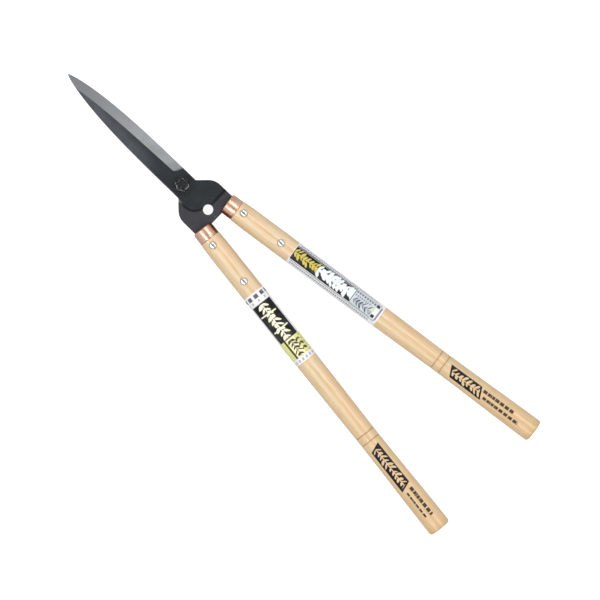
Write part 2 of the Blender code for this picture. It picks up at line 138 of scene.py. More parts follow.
HANDLE = {side: handle_frame(side) for side in ("left", "right")}
length = (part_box("left_handle")[0] - HANDLE["left"].translation).x / -math.cos(HANDLE_ANGLE)
print("handle runs about", round(length / MM), "mm back from the ferrule")

# %% [markdown]
# ## Camera, floor and light
# The tool is seen from straight above, turned so that the blades point to the upper left. A long lens far
# away keeps the two handles the same width from end to end.

# %% Camera
FRAME_WIDTH = 676.8 * MM
LENS = 200
SENSOR = 36
LOOK_AT = pivot + Vector((-185.3, 1.1, 0)) * MM
TURN = math.radians(224.07)               # of the camera about its own line of sight


def add_object(name, data):
    made = bpy.data.objects.new(name, data)
    bpy.context.scene.collection.objects.link(made)
    return made


view = bpy.data.cameras.new("overhead_camera")
view.lens = LENS
view.sensor_width = SENSOR
camera = add_object("overhead_camera", view)
camera.location = LOOK_AT + Vector((0, 0, FRAME_WIDTH * LENS / SENSOR))
camera.rotation_euler = (0, 0, TURN)
bpy.context.scene.camera = camera
bpy.context.scene.view_settings.view_transform = "Standard"
print("camera", round(camera.location.z, 2), "m above the floor")

# %% [markdown]
# Two wide soft boxes, one along each side, leave two pale streaks along a lacquered handle with a calmer
# band between them. The ceiling is kept dimmer than the sides, so that flat black steel stays black.

# %% Soft boxes
BOX_HEIGHT = 1
BOX_SIDE = 0.6
BOX_SIZE = (0.4, 2.4)
BOX_POWER = 9.5


def soft_box(name, side):
    lamp = bpy.data.lights.new(name, "AREA")
    lamp.shape = "RECTANGLE"
    lamp.size_y, lamp.size = BOX_SIZE
    lamp.energy = BOX_POWER
    box = add_object(name, lamp)
    box.location = (0, side * BOX_SIDE, BOX_HEIGHT)
    box.rotation_euler = (-box.location).to_track_quat("-Z", "Y").to_euler()
    box.visible_camera = False
    return box


for name, side in (("left_soft_box", 1), ("right_soft_box", -1)):
    made = soft_box(name, side)
    print(made.name, "leans", round(math.degrees(made.rotation_euler.x)), "degrees")

# %% [markdown]
# The drawing helper adds one node with each call and hands back its output, so that a material reads like a
# recipe. A value that is a number is set on the socket, and one that is an output is linked.

# %% A helper for drawing node trees


def rgb(red, green, blue):
    """A colour given the way a paint chart does, 0 to 255, as the linear light that a shader wants."""
    def linear(value):
        value /= 255
        return value / 12.92 if value <= 0.04045 else ((value + 0.055) / 1.055) ** 2.4
    return (linear(red), linear(green), linear(blue), 1)


class Wiring:
    """Adds nodes to one tree, and returns the sockets that they put out."""

    def __init__(self, tree):
        self.tree = tree

    def join(self, value, socket):
        if isinstance(value, bpy.types.NodeSocket):
            self.tree.links.new(value, socket)
        elif value is not None:
            socket.default_value = value

    def node(self, kind, feeds=(), **settings):
        """A node with its settings, and its first inputs fed in order. None leaves an input alone."""
        made = self.tree.nodes.new("ShaderNode" + kind)
        for name, value in settings.items():
            setattr(made, name, value)
        for value, socket in zip(feeds, made.inputs):
            self.join(value, socket)
        return made

    def math(self, operation, *values):
        return self.node("Math", values, operation=operation).outputs[0]

    def times(self, first, second):
        return self.math("MULTIPLY", first, second)

    def over(self, first, second):
        return self.math("DIVIDE", first, second)

    def plus(self, first, second):
        return self.math("ADD", first, second)

    def minus(self, first, second):
        return self.math("SUBTRACT", first, second)

    def vector(self, operation, first, second=None):
        made = self.node("VectorMath", (first, second), operation=operation)
        return made.outputs["Value" if operation in ("DOT_PRODUCT", "LENGTH") else "Vector"]

    def split(self, place):
        sockets = self.node("SeparateXYZ", [place]).outputs
        return sockets["X"], sockets["Y"], sockets["Z"]

    def combine(self, *values):
        return self.node("CombineXYZ", values).outputs[0]

    def remap(self, value, low, high, to_low=0, to_high=1):
        feeds = (value, low, high, to_low, to_high)
        return self.node("MapRange", feeds, interpolation_type="SMOOTHSTEP").outputs["Result"]

    def between(self, value, low, high, soft):
        """1 where the value lies between two limits, with soft borders."""
        rise = self.remap(value, self.minus(low, soft), self.plus(low, soft))
        fall = self.remap(value, self.minus(high, soft), self.plus(high, soft), 1, 0)
        return self.times(rise, fall)

    def noise(self, where, scale, detail=3, roughness=0.5):
        return self.node("TexNoise", (where, None, scale, detail, roughness)).outputs["Fac"]

    def mix(self, share, first, second):
        unused = [None] * 5                   # the node's inputs for numbers and vectors
        return self.node("Mix", (share, *unused, first, second), data_type="RGBA").outputs[2]

    def stain(self, tone, mask, strength, *colour):
        """The tone with a colour laid over it, at part strength, where the mask is 1."""
        return self.mix(self.times(mask, strength), tone, rgb(*colour))

    def group(self, name, **values):
        made = self.node("Group", node_tree=bpy.data.node_groups[name])
        for socket, value in values.items():
            self.join(value, made.inputs[socket.replace("_", " ")])
        return made.outputs

    def own_place(self):
        return self.node("TexCoord").outputs["Object"]


def new_finish(name, **uniform):
    """A material, its wiring helper and its shader's inputs, with the uniform values set."""
    made = bpy.data.materials.new(name)
    made.use_nodes = True
    shader = made.node_tree.nodes["Principled BSDF"].inputs
    for socket, value in uniform.items():
        shader[socket.replace("_", " ")].default_value = value
    return made, Wiring(made.node_tree), shader


print("oak in linear light:", [round(v, 2) for v in rgb(232, 208, 170)[:3]])

# %% [markdown]
# The room is a plain pale dome whose brightness rises from overhead down to the horizon, because its white
# walls are brighter than the ceiling. Seen directly, both the walls and the floor paper are white.

# %% Room and floor
OVERHEAD = 0.3
WALLS = 0.68
WALL_TOP = (0.35, 0.98)                   # the walls fade into the ceiling between these heights, 1 overhead
FLOOR_WHITE = 0.88                        # how much white the camera sees in the floor, whatever the shadow
WHITE = (1, 1, 1, 1)

world = bpy.data.worlds.new("studio_room")
bpy.context.scene.world = world
world.use_nodes = True
room = Wiring(world.node_tree)
_, _, upwards = room.split(room.node("TexCoord").outputs["Generated"])
brightness = room.remap(upwards, *WALL_TOP, WALLS, OVERHEAD)
seen = room.node("LightPath").outputs["Is Camera Ray"]
sky = world.node_tree.nodes["Background"].inputs
room.join(room.math("MAXIMUM", brightness, seen), sky["Strength"])
sky["Color"].default_value = WHITE

bpy.ops.mesh.primitive_plane_add(size=12)
floor = bpy.context.object
floor.name = "studio_floor"
paper, w, shader = new_finish("floor_paper", Base_Color=(0.5, 0.5, 0.5, 1), Roughness=0.9,
                              Specular_IOR_Level=0.1, Emission_Color=WHITE)
w.join(w.times(w.node("LightPath").outputs["Is Camera Ray"], FLOOR_WHITE), shader["Emission Strength"])
floor.data.materials.append(paper)
floor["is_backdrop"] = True
print("floor", floor.dimensions.x, "m wide")

# %% [markdown]
# ## Shared effects
# Some effects are needed by several finishes, so each is a node group with named inputs. The first one
# measures the place on a handle: millimetres along it, and millimetres round it from the top.

# %% Group: place on the handle


def new_group(name, outputs, **inputs):
    """An empty group with named sockets, and a wiring helper for it. An input of None is a vector."""
    made = bpy.data.node_groups.new(name, "ShaderNodeTree")
    for label, start in inputs.items():
        kind = "NodeSocketVector" if start is None else "NodeSocketFloat"
        socket = made.interface.new_socket(name=label.replace("_", " "), in_out="INPUT", socket_type=kind)
        if start is not None:
            socket.default_value = start
    for label in outputs:
        made.interface.new_socket(name=label, in_out="OUTPUT", socket_type="NodeSocketFloat")
    return Wiring(made), made.nodes.new("NodeGroupInput").outputs, made.nodes.new("NodeGroupOutput").inputs


w, given, out = new_group("handle_place", ["Along", "Round"], Place=None, Radius=13.3)
x, y, z = w.split(given["Place"])
w.join(w.times(z, 1 / MM), out["Along"])
w.join(w.times(w.math("ARCTAN2", y, x), given["Radius"]), out["Round"])


def on_handle(w, place, radius):
    """The two measures on a handle of this radius, ready to hand to a print."""
    spot = w.group("handle_place", Place=place, Radius=radius)
    return {"Along": spot["Along"], "Round": spot["Round"]}


print("group handle_place gives", [socket.name for socket in out][:2])

# %% [markdown]
# Grain is a noise pulled out long in one direction: wood fibres along a handle, grinding marks across a
# blade, polishing lines round a ferrule. `Stretch` says how much longer than wide a mark is, along z.

# %% Group: drawn-out grain
MARK_LEVEL = 0.62                         # noise above this is a mark
w, given, out = new_group("drawn_grain", ["Tone", "Marks"], Place=None, Width=0.3, Stretch=30, Sharpness=0.3)
x, y, z = w.split(given["Place"])
scale = w.over(1 / MM, given["Width"])
fine = w.noise(w.combine(x, y, w.over(z, given["Stretch"])), scale, 3, 0.6)
w.join(fine, out["Tone"])
edge = w.times(given["Sharpness"], 0.5)
w.join(w.remap(fine, w.minus(MARK_LEVEL, edge), w.plus(MARK_LEVEL, edge)), out["Marks"])
print("group drawn_grain has", len(w.tree.nodes), "nodes")

# %% [markdown]
# Handling leaves soft blotches on lacquer, film and polished metal: `Haze` is where fingers and dust dulled
# the surface, `Specks` are small single marks.

# %% Group: handling marks
w, given, out = new_group("handling_marks", ["Haze", "Specks"], Place=None, Size=18, Speck_Size=1.2)
soft = w.noise(given["Place"], w.over(1 / MM, given["Size"]), 4, 0.55)
w.join(w.remap(soft, 0.4, 0.68), out["Haze"])
small = w.noise(given["Place"], w.over(1 / MM, given["Speck Size"]), 1, 0.4)
w.join(w.remap(small, 0.7, 0.76), out["Specks"])


def handled(w, place, size, speck_size):
    return w.group("handling_marks", Place=place, Size=size, Speck_Size=speck_size)


print("group handling_marks has", len(w.tree.nodes), "nodes")

# %% [markdown]
# Blackened and plated metal wears through on its edges first. The Bevel node gives the normal that the
# surface would have if its edges were rounded; where that differs from the true normal there is an edge.

# %% Group: edge wear
w, given, out = new_group("edge_wear", ["Wear"], Place=None, Reach=0.5, Break_Up=2, Amount=1)
rounded = w.node("Bevel", [w.times(given["Reach"], MM)], samples=6).outputs["Normal"]
likeness = w.vector("DOT_PRODUCT", rounded, w.node("NewGeometry").outputs["Normal"])
edge = w.remap(w.minus(1, likeness), 0.01, 0.16)
patch = w.noise(given["Place"], w.over(1 / MM, given["Break Up"]), 4, 0.6)
worn = w.times(edge, w.remap(patch, 0.4, 0.62))
w.join(w.times(worn, given["Amount"]), out["Wear"])


def worn_edges(w, place, reach, break_up, amount):
    return w.group("edge_wear", Place=place, Reach=reach, Break_Up=break_up, Amount=amount)["Wear"]


print("group edge_wear has", len(w.tree.nodes), "nodes")

# %% [markdown]
# The films and the stamps on the wood carry no words here, only plain bands, dashes and a leafy sprig, as a
# garden tool might. A band is 1 between two lengths and two places round the handle. `Slant` leans its ends
# over. A dash row is a band chopped at a regular pitch.

# %% Groups: printed band and dash row
BAND_INPUTS = {"Along": 0, "Round": 0, "From": 0, "To": 1, "Low": -1, "High": 1, "Slant": 0, "Soft": 0.12}
w, given, out = new_group("printed_band", ["Mask"], **BAND_INPUTS)
leaning = w.minus(given["Along"], w.times(given["Round"], given["Slant"]))
ends = w.between(leaning, given["From"], given["To"], given["Soft"])
sides = w.between(given["Round"], given["Low"], given["High"], given["Soft"])
w.join(w.times(ends, sides), out["Mask"])

w, given, out = new_group("dash_row", ["Mask"], **BAND_INPUTS, Pitch=3, Fill=0.6)
whole = w.group("printed_band", **{name: given[name] for name in BAND_INPUTS})["Mask"]
step = w.math("FRACT", w.over(w.minus(given["Along"], given["From"]), given["Pitch"]))
w.join(w.times(whole, w.between(step, 0.04, given["Fill"], 0.04)), out["Mask"])
print("groups printed_band and dash_row are ready")

# %% [markdown]
# A sprig is a stem with a pair of leaves at every pitch. One leaf is an ellipse on its side, and folding the
# across measure about the stem gives its twin for nothing. `Vary` lets every leaf take its own length, width
# and place, as if brushed by hand.

# %% Group: leaf row
LEAN = math.radians(50)                   # of a leaf, from straight across the stem
PLUMP = 1.6                               # 2 would be a true ellipse, less gives a pointed leaf
w, given, out = new_group("leaf_row", ["Mask"], Along=0, Round=0, From=0, To=1, Centre=0, Pitch=8, Length=6,
                          Width=2.6, Stem=0.5, Vary=0)
beside = w.minus(given["Round"], given["Centre"])
off_stem = w.math("ABSOLUTE", beside)
counted = w.over(w.minus(given["Along"], given["From"]), given["Pitch"])
which = w.combine(w.math("FLOOR", counted), w.math("SIGN", beside), given["From"])
chance = w.node("TexWhiteNoise", [which], noise_dimensions="3D").outputs["Color"]
picks = w.node("SeparateColor", [chance]).outputs


def varied(value, pick, least, most):
    """A leaf measure, scaled by this leaf's own chance between two limits."""
    share = w.times(w.minus(w.remap(picks[pick], 0, 1, least, most), 1), given["Vary"])
    return w.times(value, w.plus(share, 1))


length = varied(given["Length"], "Red", 0.55, 1.35)
width = varied(given["Width"], "Green", 0.6, 1.5)
cell = w.minus(w.math("FRACT", counted), varied(0.5, "Blue", 0.7, 1.3))
ahead = w.times(cell, given["Pitch"])
rise = w.minus(off_stem, w.times(length, 0.36))
leaf_long = w.plus(w.times(ahead, math.cos(LEAN)), w.times(rise, math.sin(LEAN)))
leaf_wide = w.minus(w.times(ahead, math.sin(LEAN)), w.times(rise, math.cos(LEAN)))
rounds = []
for measure, whole in ((leaf_long, length), (leaf_wide, width)):
    share = w.math("ABSOLUTE", w.over(measure, w.times(whole, 0.5)))
    rounds.append(w.math("POWER", share, PLUMP))
leaf = w.remap(w.plus(*rounds), 0.86, 1.1, 1, 0)
stem = w.remap(off_stem, w.times(given["Stem"], 0.6), given["Stem"], 1, 0)
inside = w.between(given["Along"], given["From"], given["To"], 0.15)
w.join(w.times(w.math("MAXIMUM", leaf, stem), inside), out["Mask"])
print("group leaf_row has", len(w.tree.nodes), "nodes")

# %% Helpers that lay the prints


def band(w, where, start, end, low, high, slant=0, soft=0.12):
    return w.group("printed_band", **where, From=start, To=end, Low=low, High=high, Slant=slant,
                   Soft=soft)["Mask"]


def dashes(w, where, start, end, low, high, pitch, fill, slant=0):
    return w.group("dash_row", **where, From=start, To=end, Low=low, High=high, Slant=slant, Pitch=pitch,
                   Fill=fill)["Mask"]


def round_dashes(w, where, start, end, pitch, fill, shift=0):
    """Dashes that follow each other round the handle: the two measures change places."""
    swapped = {"Along": w.plus(where["Round"], shift), "Round": where["Along"]}
    return dashes(w, swapped, -40, 40, start, end, pitch, fill)


def leaves(w, where, start, end, centre, pitch, length, width, stem, vary=0.9):
    return w.group("leaf_row", **where, From=start, To=end, Centre=centre, Pitch=pitch, Length=length,
                   Width=width, Stem=stem, Vary=vary)["Mask"]


print("four print helpers are ready")

# %% [markdown]
# ## Finishes
# ### Forged steel
# A blade leaves the forge with a skin of black scale, a little blue, uneven and slightly pitted. Towards the
# tip the skin was rubbed thinner by polishing and looks greyer. The finish is a dull non-metal with noise in
# its colour, its gloss and its relief.

# %% Finish: forged steel


def dress(w, shader, colour, roughness, height, depth):
    """Joins up a finish: its colour, its roughness and a bump that is some millimetres deep."""
    w.join(colour, shader["Base Color"])
    w.join(roughness, shader["Roughness"])
    bump = w.node("Bump")
    bump.inputs["Distance"].default_value = depth * MM
    w.join(height, bump.inputs["Height"])
    w.join(bump.outputs["Normal"], shader["Normal"])


OTHER_NOSE = (-19.2 * MM, -0.4 * MM, 0)   # centre of the other half's round nose


def forged_finish():
    made, w, shader = new_finish("forged_scale", Specular_IOR_Level=0.33)
    place = w.own_place()
    x, y, z = w.split(place)
    skin = w.mix(w.remap(x, 10 * MM, 175 * MM), rgb(22, 29, 34), rgb(70, 74, 79))
    to_spine = w.remap(y, -3 * MM, 9 * MM)
    skin = w.mix(w.times(to_spine, w.remap(x, 20 * MM, 70 * MM, 0, 0.6)), skin, rgb(78, 83, 89))
    inner_side = w.remap(z, -1.2 * MM, -2.4 * MM)
    neck = w.math("MAXIMUM", w.remap(x, -38.5 * MM, -41 * MM), inner_side)
    skin = w.mix(neck, skin, rgb(53, 51, 57))
    # Painted shade: the steep step from the thick plate down to the neck is painted near black.
    corner = w.times(w.between(x, -40.3 * MM, -36.6 * MM, 0.5 * MM), w.remap(z, 0.5 * MM, 2 * MM))
    # Painted shadow: a band on the neck along the other half's round nose is painted near black too.
    flat = w.vector("MULTIPLY", w.vector("SUBTRACT", place, OTHER_NOSE), (1, 1, 0))
    nose_shadow = w.times(w.remap(w.vector("LENGTH", flat), 18.2 * MM, 16 * MM), inner_side)
    skin = w.stain(skin, w.math("MAXIMUM", corner, nose_shadow), 0.95, 7, 7, 10)
    marks = handled(w, place, 9, 0.9)
    skin = w.stain(skin, marks["Haze"], 0.35, 38, 44, 52)
    skin = w.stain(skin, marks["Specks"], 0.3, 110, 112, 114)
    skin = w.mix(worn_edges(w, place, 0.45, 3, 0.35), skin, rgb(140, 142, 145))
    grit = w.noise(place, 900, 4, 0.6)
    height = w.plus(grit, w.noise(place, 220, 2, 0.5))
    dress(w, shader, skin, w.remap(grit, 0.3, 0.7, 0.42, 0.6), height, 0.06)
    return made


FORGED = forged_finish()
print(FORGED.name, "has", len(FORGED.node_tree.nodes), "nodes")

# %% [markdown]
# ### Ground steel
# The bevel and the sliding face are ground bright. A wheel leaves fine parallel scratches across the edge,
# which spread the light sideways.

# %% Finish: ground steel


SCRATCH_TURN = (math.radians(90), 0, math.radians(-12))


def ground_finish():
    made, w, shader = new_finish("ground_steel", Metallic=0.85)
    place = w.own_place()
    turned = w.node("Mapping", [place])
    turned.inputs["Rotation"].default_value = SCRATCH_TURN
    grain = w.group("drawn_grain", Place=turned.outputs[0], Width=0.35, Stretch=40, Sharpness=0.4)
    tone = w.mix(grain["Tone"], rgb(134, 137, 138), rgb(172, 175, 177))
    x, _, _ = w.split(place)
    # Painted shade: darker towards the tip, holding back the soft boxes' reflection where the bevel leans
    # more.
    tone = w.mix(w.remap(x, 20 * MM, 165 * MM, 0, 0.75), tone, rgb(104, 107, 110))
    tone = w.stain(tone, handled(w, place, 16, 0.8)["Haze"], 0.4, 124, 126, 126)
    dress(w, shader, tone, w.remap(grain["Tone"], 0.3, 0.7, 0.46, 0.6), grain["Tone"], 0.03)
    return made


GROUND = ground_finish()
print(GROUND.name, "has", len(GROUND.node_tree.nodes), "nodes")

# %% [markdown]
# ### Copper
# The ferrules are steel caps with a bright coat of copper. Polishing runs round them, and their edges are
# a little rubbed. The side that faces the other handle is painted dark brown: a painted reflection of the
# dark steel and the shade between the handles.

# %% Finish: copper


def copper_finish(side):
    made, w, shader = new_finish("polished_copper_" + side, Metallic=1)
    place = w.own_place()
    _, y, z = w.split(place)
    lines = w.noise(w.combine(z), 2600, 2, 0.6)
    haze = handled(w, place, 7, 0.6)["Haze"]
    tone = w.mix(lines, rgb(230, 184, 160), rgb(243, 212, 192))
    tone = w.stain(tone, haze, 0.5, 206, 148, 118)
    # Painted shade and dark reflection on the side that faces the other handle.
    inwards = w.times(y, -1 if side == "left" else 1)
    inner_dark_reflection = w.times(w.remap(inwards, 6.5 * MM, 11.5 * MM), w.remap(haze, 0, 1, 0.75, 1))
    tone = w.mix(inner_dark_reflection, tone, rgb(150, 84, 58))
    tone = w.mix(worn_edges(w, place, 0.5, 2, 0.5), tone, rgb(236, 214, 196))
    dress(w, shader, tone, w.plus(w.remap(lines, 0.3, 0.7, 0.24, 0.33), w.times(haze, 0.1)), lines, 0.008)
    return made


COPPER = {side: copper_finish(side) for side in ("left", "right")}
print("copper finishes have", len(COPPER["left"].node_tree.nodes), "nodes each")

# %% [markdown]
# ### Bright steel and blackened steel
# Rivets are bare bright steel with tiny hammer marks. The nut, the washers and the bolt are blackened, and
# the black is gone where a spanner grips them.

# %% Finish: bright steel, blackened steel


def bright_finish():
    made, w, shader = new_finish("hammered_steel", Metallic=1)
    place = w.own_place()
    haze = handled(w, place, 3, 0.5)["Haze"]
    tone = w.mix(haze, rgb(232, 234, 232), rgb(190, 194, 194))
    dents = w.node("TexVoronoi", (place, None, 600), feature="SMOOTH_F1").outputs["Distance"]
    dress(w, shader, tone, w.remap(haze, 0, 1, 0.16, 0.3), dents, 0.05)
    return made


def blackened_finish(name, rubbed, reach, patches):
    made, w, shader = new_finish(name)
    place = w.own_place()
    haze = handled(w, place, 4, 0.5)["Haze"]
    wear = worn_edges(w, place, reach, patches, rubbed)
    tone = w.mix(w.times(haze, 0.5), rgb(34, 36, 37), rgb(54, 57, 57))
    tone = w.mix(wear, tone, rgb(222, 225, 223))
    w.join(w.remap(wear, 0, 1, 0.35, 0.9), shader["Metallic"])
    dress(w, shader, tone, w.remap(haze, 0, 1, 0.3, 0.45), w.noise(place, 1400, 3, 0.6), 0.02)
    return made


BRIGHT = bright_finish()
BLACKENED = blackened_finish("black_washer_steel", 0.25, 0.9, 1.3)
GRIPPED = blackened_finish("black_nut_steel", 1, 1.5, 4)
print(BRIGHT.name, "and", BLACKENED.name, "and", GRIPPED.name, "are ready")

# %% [markdown]
# ### Oak
# The handles are turned from pale straight oak. Growth rings are shells round a pith that lies outside the
# handle, so along the side they show as nearly straight lines and on the butt as arcs. Open pores are short
# dark dashes along the fibres. Clear lacquer covers it all. Each handle is stamped near its butt with a
# slanted panel of leaves and two rows of dashes.

# %% Finish: oak
PITH = (-55 * MM, 34 * MM, 0)             # beside the handle, in its own frame
RING_PITCH = 2.4                          # millimetres between growth rings
GROOVES = (295, 305)                      # millimetres from the ferrule's front
STAMPS = {                                # start, end and slant; then start, end and the two sides of a row
    "left": {"panel": (313.4, 369.8, 0.37), "rows": ((373.6, 413, -4.6, -0.6), (376, 411, 3.4, 5.8))},
    "right": {"panel": (314, 356.8, 0.44), "rows": ((358, 400, -4.6, -0.8), (361, 410, 2.6, 6.2))},
}


def stamp_mask(w, side, where):
    """Ink of the stamp: a framed leaning panel with leaves left bare, then two rows of dashes."""
    start, end, slant = STAMPS[side]["panel"]
    panel = band(w, where, start, end, -5.8, 9, slant)
    inner = band(w, where, start + 2.2, end - 2.2, -4.5, 7.6, slant)
    ink = w.minus(panel, w.times(inner, leaves(w, where, start + 2, end + 2, 1.6, 5.2, 7.6, 2.4, 0.7, 0.8)))
    for row in STAMPS[side]["rows"]:
        for pitch in (3.3, 6.1):
            ink = w.math("MAXIMUM", ink, w.times(dashes(w, where, *row, pitch, 0.6, 0.15), 0.93))
    return ink


def oak_finish(side):
    made, w, shader = new_finish("oak_" + side, Coat_Roughness=0.2, Specular_IOR_Level=0.25)
    place = w.own_place()
    where = on_handle(w, place, 13)
    grain = w.group("drawn_grain", Place=place, Width=0.5, Stretch=45, Sharpness=0.25)
    broad = w.group("drawn_grain", Place=place, Width=3.2, Stretch=26, Sharpness=0.5)

    flat = w.vector("MULTIPLY", w.vector("SUBTRACT", place, PITH), (1 / MM, 1 / MM, 0))
    shells = w.over(w.plus(w.vector("LENGTH", flat), w.times(broad["Tone"], 5)), RING_PITCH)
    late = w.math("POWER", w.math("FRACT", shells), 3)

    tone = w.mix(broad["Tone"], rgb(232, 211, 177), rgb(214, 189, 150))
    patch = w.noise(w.vector("MULTIPLY", place, (60, 60, 22)), 1, 2, 0.5)
    tone = w.mix(w.remap(patch, 0.4, 0.62, 0, 0.6), tone, rgb(228, 188, 150))
    tone = w.mix(w.remap(where["Along"], 100, 430, 0, 0.42), tone, rgb(212, 176, 122))
    figure = w.noise(w.vector("MULTIPLY", place, (210, 210, 48)), 1, 3, 0.6)
    tone = w.mix(w.remap(figure, 0.5, 0.72, 0, 0.4), tone, rgb(204, 186, 138))
    tone = w.stain(tone, late, 0.5, 198, 162, 114)
    tone = w.stain(tone, grain["Marks"], 0.5, 176, 140, 96)
    rubbed = w.remap(where["Along"], 421, 430, 0, 0.6)
    tone = w.mix(rubbed, tone, rgb(206, 164, 112))
    # Painted shade: the two grooves are painted a darker brown.
    for groove in GROOVES:
        groove_shade = band(w, where, groove - 0.9, groove + 0.9, -99, 99, soft=0.6)
        tone = w.stain(tone, groove_shade, 0.55, 160, 122, 80)
    ink = w.times(stamp_mask(w, side, where), w.remap(grain["Tone"], 0.3, 0.42, 0.94, 1))
    tone = w.mix(ink, tone, rgb(20, 13, 9))
    w.join(w.remap(ink, 0, 1, 0.8, 0), shader["Coat Weight"])
    pores = w.minus(w.times(grain["Tone"], 0.4), grain["Marks"])
    dress(w, shader, tone, w.remap(handled(w, place, 22, 1.5)["Haze"], 0, 1, 0.4, 0.52), pores, 0.035)
    return made


OAK = {side: oak_finish(side) for side in ("left", "right")}
print("oak finishes have", len(OAK["left"].node_tree.nodes), "nodes each")

# %% [markdown]
# ### Printed film
# A thin printed film is wrapped round each handle behind the rivets. It shows plain bands, dashes and the
# sprig on white, and it is dulled a little where hands have been.

# %% Finish: printed film
# Each layer is a mark, its numbers in millimetres and its colour. It covers the layers before it.
LEFT_LAYERS = (
    (round_dashes, (95, 99.9, 8.8, 0.64, -1.8), (96, 97, 99)),
    (round_dashes, (101.8, 104.6, 8.8, 0.26, -3.5), (168, 168, 176)),
    (band, (106.9, 157.8, -14, 14.6), (14, 13, 13)),
    (band, (109, 157, -4.8, 6.1), (40, 40, 42)),
    (leaves, (108.6, 157, 0.7, 5.4, 8.6, 3.6, 0.8), (247, 243, 214)),
    (band, (120.9, 122.7, -10, 12.6, -0.04), (240, 236, 208)),
    (band, (142.4, 144.2, -10.6, 11, 0.06), (240, 236, 208)),
    (band, (157.8, 182, -30, 30), (222, 222, 150)),
    (band, (158.5, 181.5, -5.2, 5.2), (246, 240, 198)),
    (leaves, (160, 181.5, 0.4, 4.3, 6.6, 2.2, 0.5), (70, 62, 40)),
    (leaves, (161, 180, -7.6, 6.1, 5.2, 2.4, 0), (74, 66, 34)),
    (band, (157.8, 182, 6, 8.6), (58, 54, 22)),
    (dashes, (158.5, 182, -15.5, -11.6, 5.2, 0.5), (196, 198, 122)),
    (round_dashes, (184, 187.4, 5.2, 0.5, 1), (176, 172, 186)),
)
RIGHT_LAYERS = (
    (band, (93.5, 214, -15.6, 14), (232, 234, 238)),
    (dashes, (94.5, 203, -15, -13.2, 2.2, 0.6), (62, 66, 78)),
    (dashes, (97, 212, -12.5, -11.5, 3.1, 0.7), (84, 88, 100)),
    (dashes, (94.5, 212, 8.7, 10.2, 1.9, 0.6), (52, 56, 66)),
    (dashes, (96, 206, 11.7, 13.8, 2.9, 0.6), (58, 62, 74)),
    (band, (93.5, 176.6, -10.9, 7.9), (14, 14, 14)),
    (band, (93.5, 176.6, -9.6, -9), (196, 198, 202)),
    (leaves, (94.6, 127, -1.6, 4.1, 8.6, 2.5, 0.9), (206, 188, 84)),
    (leaves, (127, 175.8, -1.3, 4.6, 9.8, 4.6, 2.2), (232, 238, 240)),
    (band, (176.6, 205, -12.4, 11), (200, 208, 214)),
    (dashes, (177.6, 204, -9.8, -7.4, 3.4, 0.55), (70, 74, 82)),
    (dashes, (178, 200, -5.4, -3.2, 2.7, 0.5), (110, 114, 122)),
    (leaves, (179, 203.5, 2, 3.9, 6.4, 1.7, 0.4), (84, 92, 100)),
    (dashes, (177.4, 204, 7.6, 9, 2.3, 0.6), (84, 88, 96)),
    (band, (202, 205.4, -3, 1), (206, 220, 150)),
    (band, (205, 209.2, 3, 7.2), (16, 16, 18)),
    (band, (205, 209.2, -10.8, -6.6), (16, 16, 18)),
    (band, (210.6, 212.8, -10, 8), (150, 132, 150)),
)


def film_finish(side, layers):
    made, w, shader = new_finish("printed_film_" + side, Specular_IOR_Level=0.25)
    place = w.own_place()
    where = on_handle(w, place, 13.6)
    tone = rgb(236, 236, 238)
    for mark, numbers, colour in layers:
        tone = w.mix(mark(w, where, *numbers), tone, rgb(*colour))
    haze = handled(w, place, 12, 0.7)["Haze"]
    tone = w.stain(tone, haze, 0.12, 150, 150, 146)
    dress(w, shader, tone, w.remap(haze, 0, 1, 0.28, 0.42), haze, 0.04)
    return made


FILM = {"left": film_finish("left", LEFT_LAYERS), "right": film_finish("right", RIGHT_LAYERS)}
print("film finishes:", FILM["left"].name, "and", FILM["right"].name)

# %% [markdown]
# ## Pieces
# Most pieces here are turned: a half section swept round an axis. Building the rings in code lets a point on
# the axis become a single vertex.

# %% Helpers: turned meshes and finishing


def arc(centre, radius, start, end, count):
    """Points on a circle between two angles in degrees."""
    angles = (math.radians(start + (end - start) * i / (count - 1)) for i in range(count))
    return [(centre[0] + radius * math.cos(a), centre[1] + radius * math.sin(a)) for a in angles]


def mesh_from(work, name):
    """Turns a bmesh into a mesh, with every face looking outwards."""
    bmesh.ops.recalc_face_normals(work, faces=work.faces)
    mesh = bpy.data.meshes.new(name)
    work.to_mesh(mesh)
    work.free()
    return mesh


FULL_TURN = 2 * math.pi


def turned_mesh(name, section, steps, sweep=FULL_TURN, closed=False):
    """Half section of (radius, length) points turned about z; a partial sweep is centred on x and capped."""
    whole = sweep > FULL_TURN - 0.01
    count = steps if whole else steps + 1
    angles = [sweep * (i / steps - 0.5) for i in range(count)]
    work = bmesh.new()
    rings = []
    for radius, place in section:
        if radius < 1e-7:
            rings.append([work.verts.new((0, 0, place))])
            continue
        rings.append([work.verts.new((radius * math.cos(a), radius * math.sin(a), place)) for a in angles])
    pairs = list(zip(rings, rings[1:]))
    if closed:
        pairs.append((rings[-1], rings[0]))
    for ring, ahead in pairs:
        for i in range(steps):
            j = (i + 1) % count
            corners = (ring[i % len(ring)], ring[j % len(ring)], ahead[j % len(ahead)], ahead[i % len(ahead)])
            corners = list(dict.fromkeys(corners))
            if len(corners) > 2:
                work.faces.new(corners)
    if not whole:
        work.faces.new([ring[0] for ring in rings])
        work.faces.new([ring[-1] for ring in reversed(rings)])
    return mesh_from(work, name)


def smooth(mesh, sharp_from=30):
    mesh.shade_smooth()
    mesh.set_sharp_from_angle(angle=math.radians(sharp_from))


def place_piece(name, mesh, matrix):
    made = add_object(name, mesh)
    made.matrix_world = matrix
    return made


def turned_piece(name, section, steps, matrix, sharp_from=30, **more):
    mesh = turned_mesh(name, section, steps, **more)
    smooth(mesh, sharp_from)
    return place_piece(name, mesh, matrix)


def soft_ring(radius, hole, base, height, edge=0.2 * MM):
    """Half section of a flat ring with its outer edges broken."""
    top = base + height
    return [(hole, top), (radius - edge, top), (radius, top - edge), (radius, base + edge),
            (radius - edge, base), (hole, base)]


